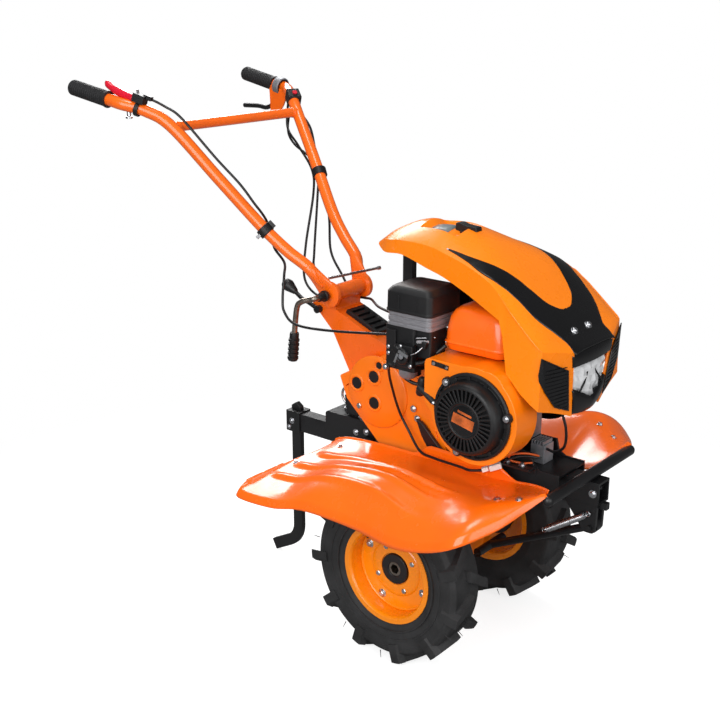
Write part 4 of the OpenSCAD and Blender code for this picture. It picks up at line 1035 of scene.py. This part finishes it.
def make_stand_spring():
    """The extension spring, a close coil of 2.8 mm wire with a ring at each end."""
    top = Vector((368, -25.3, 382.7))
    low = Vector((267.1, -25.3, 315.7))
    ahead = (low - top).normalized()
    u, v = across(ahead)
    length = (low - top).length
    coil_radius = 6.8
    wire_radius = 1.4
    turns = 38
    coil = []
    for k in range(turns * 10 + 1):
        a = 2 * math.pi * k / 10
        middle = top + ahead * (10 + (length - 20) * k / (turns * 10))
        coil.append(middle + coil_radius * (math.cos(a) * u + math.sin(a) * v))
    spring = Shape()
    spring.tube([top, top + ahead * 6 + u * 3] + coil + [low - ahead * 6 + u * 3, low], wire_radius, 6)
    for p in (top, low):
        spring.tube([p + 5 * (math.cos(2 * math.pi * k / 14) * ahead + math.sin(2 * math.pi * k / 14) * v)
                     for k in range(15)], 1.2, 6)
    made = spring.build("stand_coil_spring", ZINC, None, ["stand_spring"], angle=60)
    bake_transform(made)


make_frame()
make_stand_spring()


# Handlebar, levers and cables

def make_handlebar():
    """Two bent tubes on flat forks beside the pivot, with the crossbar, the grips and the lever's plate."""
    tubes = Shape()
    bends = [(-322, 71, 768), (-350, 84, 810), (-399, 102, 846), (-457, 124, 899), (-550, 168, 1006),
             (-650, 213, 1120), (-700, 246, 1156), GRIP_START, GRIP_START - GRIP_AHEAD * 40,
             GRIP_START - GRIP_AHEAD * 150]
    across_fork = Vector((0.83, 0, 0.56))
    for s in (-1, 1):
        path = spline([(x, s * y, z) for x, y, z in bends], 10)
        tubes.tube(path, [4 + 10.2 * smooth(k / 9) for k in range(len(path))], 28)
        fork = []
        for k in range(9):
            t = k / 8
            wide, thick = mix(27, 14.6, smooth(t)), mix(5.5, 14.6, smooth(t))
            middle = Vector((mix(PIVOT_X, -352, t), s * mix(58, 85, t ** 1.4), mix(PIVOT_Z, 812, t)))
            ring = []
            for j in range(28):
                a = 2 * math.pi * j / 28
                flat = across_fork * (wide * math.cos(a))
                ring.append(middle + flat + Vector((0, thick * math.sin(a), 0)))
            fork.append(ring)
        tubes.loft(fork)
        tubes.lathe([(0, 24), (2, 30), (11, 30), (13, 24)], (PIVOT_X, s * 52, PIVOT_Z), (0, s, 0), 40)
    tubes.tube([(-650, -205, 1120), (-650, 205, 1120)], 12, 24)
    tubes.build("handle_tubes", TUBE_ORANGE, "handlebar", ["handlebar"], angle=50)
    for name, side in (("right", -1), ("left", 1)):
        start, along = GRIP_START - GRIP_AHEAD * 162, GRIP_AHEAD
        if side < 0:
            start, along = other_side(start), other_side(along)
        sleeve = Shape()
        rings = [(0, 12), (1, 16), (4, 18.2)]
        for k in range(16):
            step = 6.6 * k
            rings += [(7 + step, 18.6), (8 + step, 17.2), (10.6 + step, 17.2), (11.6 + step, 18.6)]
        sleeve.lathe(rings + [(117, 18.6), (119, 20), (122, 20), (122.5, 15)], start, along, 28)
        sleeve.build(name + "_grip_sleeve", GRIP_RUBBER, "handlebar", ["grip_" + name], angle=30)
    welds = Shape()
    for s in (-1, 1):
        welds.lathe([(-4, 11.5), (-2, 13), (3, 13.6), (6, 13)], (-650, s * 194, 1120), (0, s, 0), 24)
    welds.build("crossbar_welds", TUBE_ORANGE, "handlebar", angle=60)
    rod = Shape()
    rod.tube([(-307, -64, 789), (-262, 58, 797)], 3.2, 12)
    rod.lathe([(0, 3.2), (1, 4.6), (8, 4.6), (9, 3)], (-262, 58, 797), (45, 122, 8), 14)
    rod.build("tilt_pin", ZINC, "handlebar", angle=50)
    plate = Shape()
    plate.plate([(-796, 1179), (-727, 1160), (-746, 1125), (-756, 1112), (-792, 1110), (-794, 1150)],
                262, 268)
    plate.build("reverse_lever_plate", FENDER_ORANGE, "handlebar", bevel=2)
    collar = Shape()
    collar.lathe([(0, 17), (0, 21), (2, 23), (20, 23), (22, 21), (22, 17), (0, 17)],
                 GRIP_START - GRIP_AHEAD * 30, GRIP_AHEAD, 28)
    collar.build("reverse_lever_collar", DIE_CAST, "handlebar", bevel=1)


def make_controls():
    """The clutch and reverse levers, the stop switch and the cable ties on the tubes."""
    red = Shape()
    blade = [(-718, -262, 1184), (-738, -264, 1188), (-764, -268, 1196), (-788, -272, 1208),
             (-801, -274, 1219)]
    red.tube(spline(blade, 5), [6] + [9] * 6 + [9.5] * 6 + [8.5] * 5 + [7, 5, 3], 14)
    red.build("clutch_hand_lever", RED_NYLON, "handlebar", ["clutch_lever"], bevel=1)
    block = Shape()
    down_tube = (0.9, 0.3, -0.3)
    block.slab((-706, -256, 1184), down_tube, UP, (30, 20, 24))
    block.slab((-690, -246, 1186), down_tube, UP, (22, 10, 12))
    block.lathe([(0, 15), (0, 17.5), (11, 17.5), (11, 15), (0, 15)], (-718, -259, 1162), (0.9, 0.4, -0.3), 24)
    block.build("clutch_lever_mount", BLACK_NYLON, "handlebar", bevel=2)
    chrome = Shape()
    chrome.lathe([(0, 5), (12, 5), (13, 8), (17, 8), (18, 6)], (-733, -268, 1156), (0, 0, -1), 16)
    chrome.lathe([(0, 3), (9, 3), (10, 2)], (-704, -262, 1196), (0.1, -0.3, 1), 12)
    chrome.build("clutch_lever_screws", ZINC, "handlebar", angle=40)

    dress("reverse_lever", BLACK_NYLON, 0, body="handlebar")
    switch = Shape()
    down_left_tube = (0.8, -0.5, -0.55)
    switch.slab((-686, 238, 1152), down_left_tube, UP, (38, 32, 34))
    switch.slab((-678, 235, 1164), down_left_tube, UP, (12, 12, 12), 1)
    switch.build("stop_switch_box", [BLACK_NYLON, RED_NYLON], "handlebar", bevel=3)

    ties = Shape()
    along_tube = (0.64, 0.3, -0.72)
    ties.lathe([(-10, 15), (-10, 17.5), (-9, 18.5), (9, 18.5), (10, 17.5), (10, 15), (-10, 15)],
               (-450, -121, 891), along_tube, 24)
    ties.slab((-440, -110, 905), along_tube, (0.46, 0.6, 0.66), (18, 9, 11))
    ties.lathe([(-11, 15), (-10, 18.6), (10, 18.6), (11, 15)], (-531, 161, 982), (0.6, -0.35, -0.72), 24)
    ties.build("cable_ties", BLACK_NYLON, "handlebar", bevel=1.2)
    clip = Shape()
    clip.slab((-455, -137, 880), along_tube, (0.4, -0.8, 0), (8, 3, 16))
    clip.build("cable_clip", ZINC, "handlebar", bevel=0.8)


# From the hand levers down to the carburettor box and the handle column
THROTTLE_ROUTE = [
    (-708, -257, 1188), (-686, -241, 1182), (-660, -222, 1166), (-627, -204, 1141), (-553, -172, 1054),
    (-500, -150, 997), (-472, -133, 953), (-463, -118, 929), (-460, -104.5, 907), (-449, -100, 875),
    (-436, -107, 849), (-400, -113, 821), (-376, -140, 799), (-366, -157, 752), (-356, -163, 721),
    (-318, -166, 699), (-220, -166, 703), (-58.8, -150, 721)]
LEFT_ROUTES = [
    [(-750, 274, 1151), (-734, 270, 1144), (-690, 218, 1079), (-641, 205, 1036), (-580, 188, 982),
     (-551, 160, 927), (-534, 110, 806), (-507, 75, 728), (-440, 58, 697), (-352, 52, 703)],
    [(-750, 281, 1151), (-734, 284, 1143), (-709, 240, 1073), (-676, 226, 1037), (-602, 204, 1011),
     (-558, 187, 984), (-541, 165, 927), (-504, 108, 794), (-488, 90, 757), (-436, 68, 697), (-360, 52, 673)],
    [(-642, 229, 1106), (-613, 224, 1076), (-574, 202, 1008), (-540, 187, 980), (-487, 146, 877),
     (-447, 106, 803), (-384, 76, 756), (-333, 52, 723), (-296, 51, 721), (-262, 36, 726), (-200, -14, 729),
     (-120, -58, 734), (-58.8, -106, 737)]]
SHEATH_RADIUS = 3


def make_cables():
    """Sheathed control cables, in bent runs from the handlebar to the machine."""
    throttle = Shape()
    throttle.tube(spline(THROTTLE_ROUTE, 8), SHEATH_RADIUS, 12)
    made = throttle.build("throttle_sheath", CABLE_PVC, None, ["throttle_cable"], angle=70)
    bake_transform(made)
    left = Shape()
    for route in LEFT_ROUTES:
        left.tube(spline(route, 8), SHEATH_RADIUS, 12)
    made = left.build("left_sheaths", CABLE_PVC, None, ["left_cables"], angle=70)
    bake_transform(made)


make_handlebar()
make_controls()
make_cables()


# Studio

PAPER_WHITE = "#ffffff"
# How much of the light the paper gives back to the machine, how much of it shows, and the white added to that
PAPER_BOUNCE = 0.2
PAPER_SEEN = 0.42
PAPER_GLOW = 0.77
# The surround's level as light on the machine and in its reflections
ROOM_LIGHT = 0.5
ROOM_REFLECTED = 0.12


def make_studio():
    """A white paper floor that fades into a white surround, and four soft boxes; sizes are in metres."""
    half = 40
    floor_data = bpy.data.meshes.new("floor")
    corners = [(-half, -half, 0), (half, -half, 0), (half, half, 0), (-half, half, 0)]
    floor_data.from_pydata(corners, [], [(0, 1, 2, 3)])
    floor = bpy.data.objects.new("floor", floor_data)
    bpy.context.scene.collection.objects.link(floor)
    floor.location.z = -0.0005
    # White paper: it takes the shadow near the machine and is plain white further off
    material = bpy.data.materials.new("white_paper_floor")
    material.use_nodes = True
    tree = material.node_tree
    tree.nodes.clear()
    seen = add(tree, "LightPath").outputs["Is Camera Ray"]
    place = add(tree, "TexCoord").outputs["Object"]
    far = add(tree, "VectorMath", {"operation": "LENGTH"}, i0=place).outputs["Value"]
    far = add(tree, "MapRange", {"interpolation_type": "SMOOTHSTEP"}, Value=far, i1=0.6, i2=1.5)
    shade = add(tree, "Mix", {"data_type": "RGBA"}, i0=seen, i6=linear(PAPER_WHITE, PAPER_BOUNCE),
                i7=linear(PAPER_WHITE, PAPER_SEEN))
    lift = add(tree, "Math", {"operation": "MULTIPLY"}, i0=seen, i1=PAPER_GLOW).outputs[0]
    lit = add(tree, "BsdfDiffuse", Color=shade.outputs[2]).outputs[0]
    glow = add(tree, "Emission", Color=linear(PAPER_WHITE), Strength=lift).outputs[0]
    near = add(tree, "AddShader", i0=lit, i1=glow).outputs[0]
    plain = add(tree, "Emission", Color=linear(PAPER_WHITE), Strength=1.0).outputs[0]
    share = add(tree, "Math", {"operation": "MULTIPLY"}, i0=seen, i1=far.outputs["Result"]).outputs[0]
    both = add(tree, "MixShader", i0=share, i1=near, i2=plain).outputs[0]
    add(tree, "OutputMaterial", Surface=both)
    floor_data.materials.append(material)

    # The surround shows white, lights the machine like a half-lit room and is dim in its reflections
    world = bpy.data.worlds.new("studio")
    bpy.context.scene.world = world
    world.use_nodes = True
    tree = world.node_tree
    rays = add(tree, "LightPath").outputs
    level = add(tree, "MapRange", Value=rays["Is Glossy Ray"], i3=ROOM_LIGHT, i4=ROOM_REFLECTED)
    level = add(tree, "Math", {"operation": "MAXIMUM"}, i0=level.outputs["Result"], i1=rays["Is Camera Ray"])
    sky = tree.nodes["Background"]
    sky.inputs["Color"].default_value = linear(PAPER_WHITE)
    tree.links.new(level.outputs[0], sky.inputs["Strength"])

    def lamp(name, place, aim, size, watts):
        data = bpy.data.lights.new(name, "AREA")
        data.size = size
        data.energy = watts
        light = bpy.data.objects.new(name, data)
        bpy.context.scene.collection.objects.link(light)
        light.location = place
        light.rotation_euler = (Vector(aim) - Vector(place)).to_track_quat("-Z", "Y").to_euler()

    lamp("overhead_softbox", (-0.3, -0.4, 3.4), (0.1, 0, 0.4), 0.9, 20)
    lamp("right_softbox", (0.9, -3.2, 1.9), (0.1, 0, 0.6), 2.6, 90)
    lamp("front_softbox", (3.2, -0.9, 1.5), (0.1, 0, 0.6), 2.4, 44)
    lamp("back_softbox", (-2.0, 1.2, 2.2), (0, -0.2, 0.4), 1.3, 58)
    bpy.context.scene.view_settings.view_transform = "Standard"


make_camera()
make_studio()
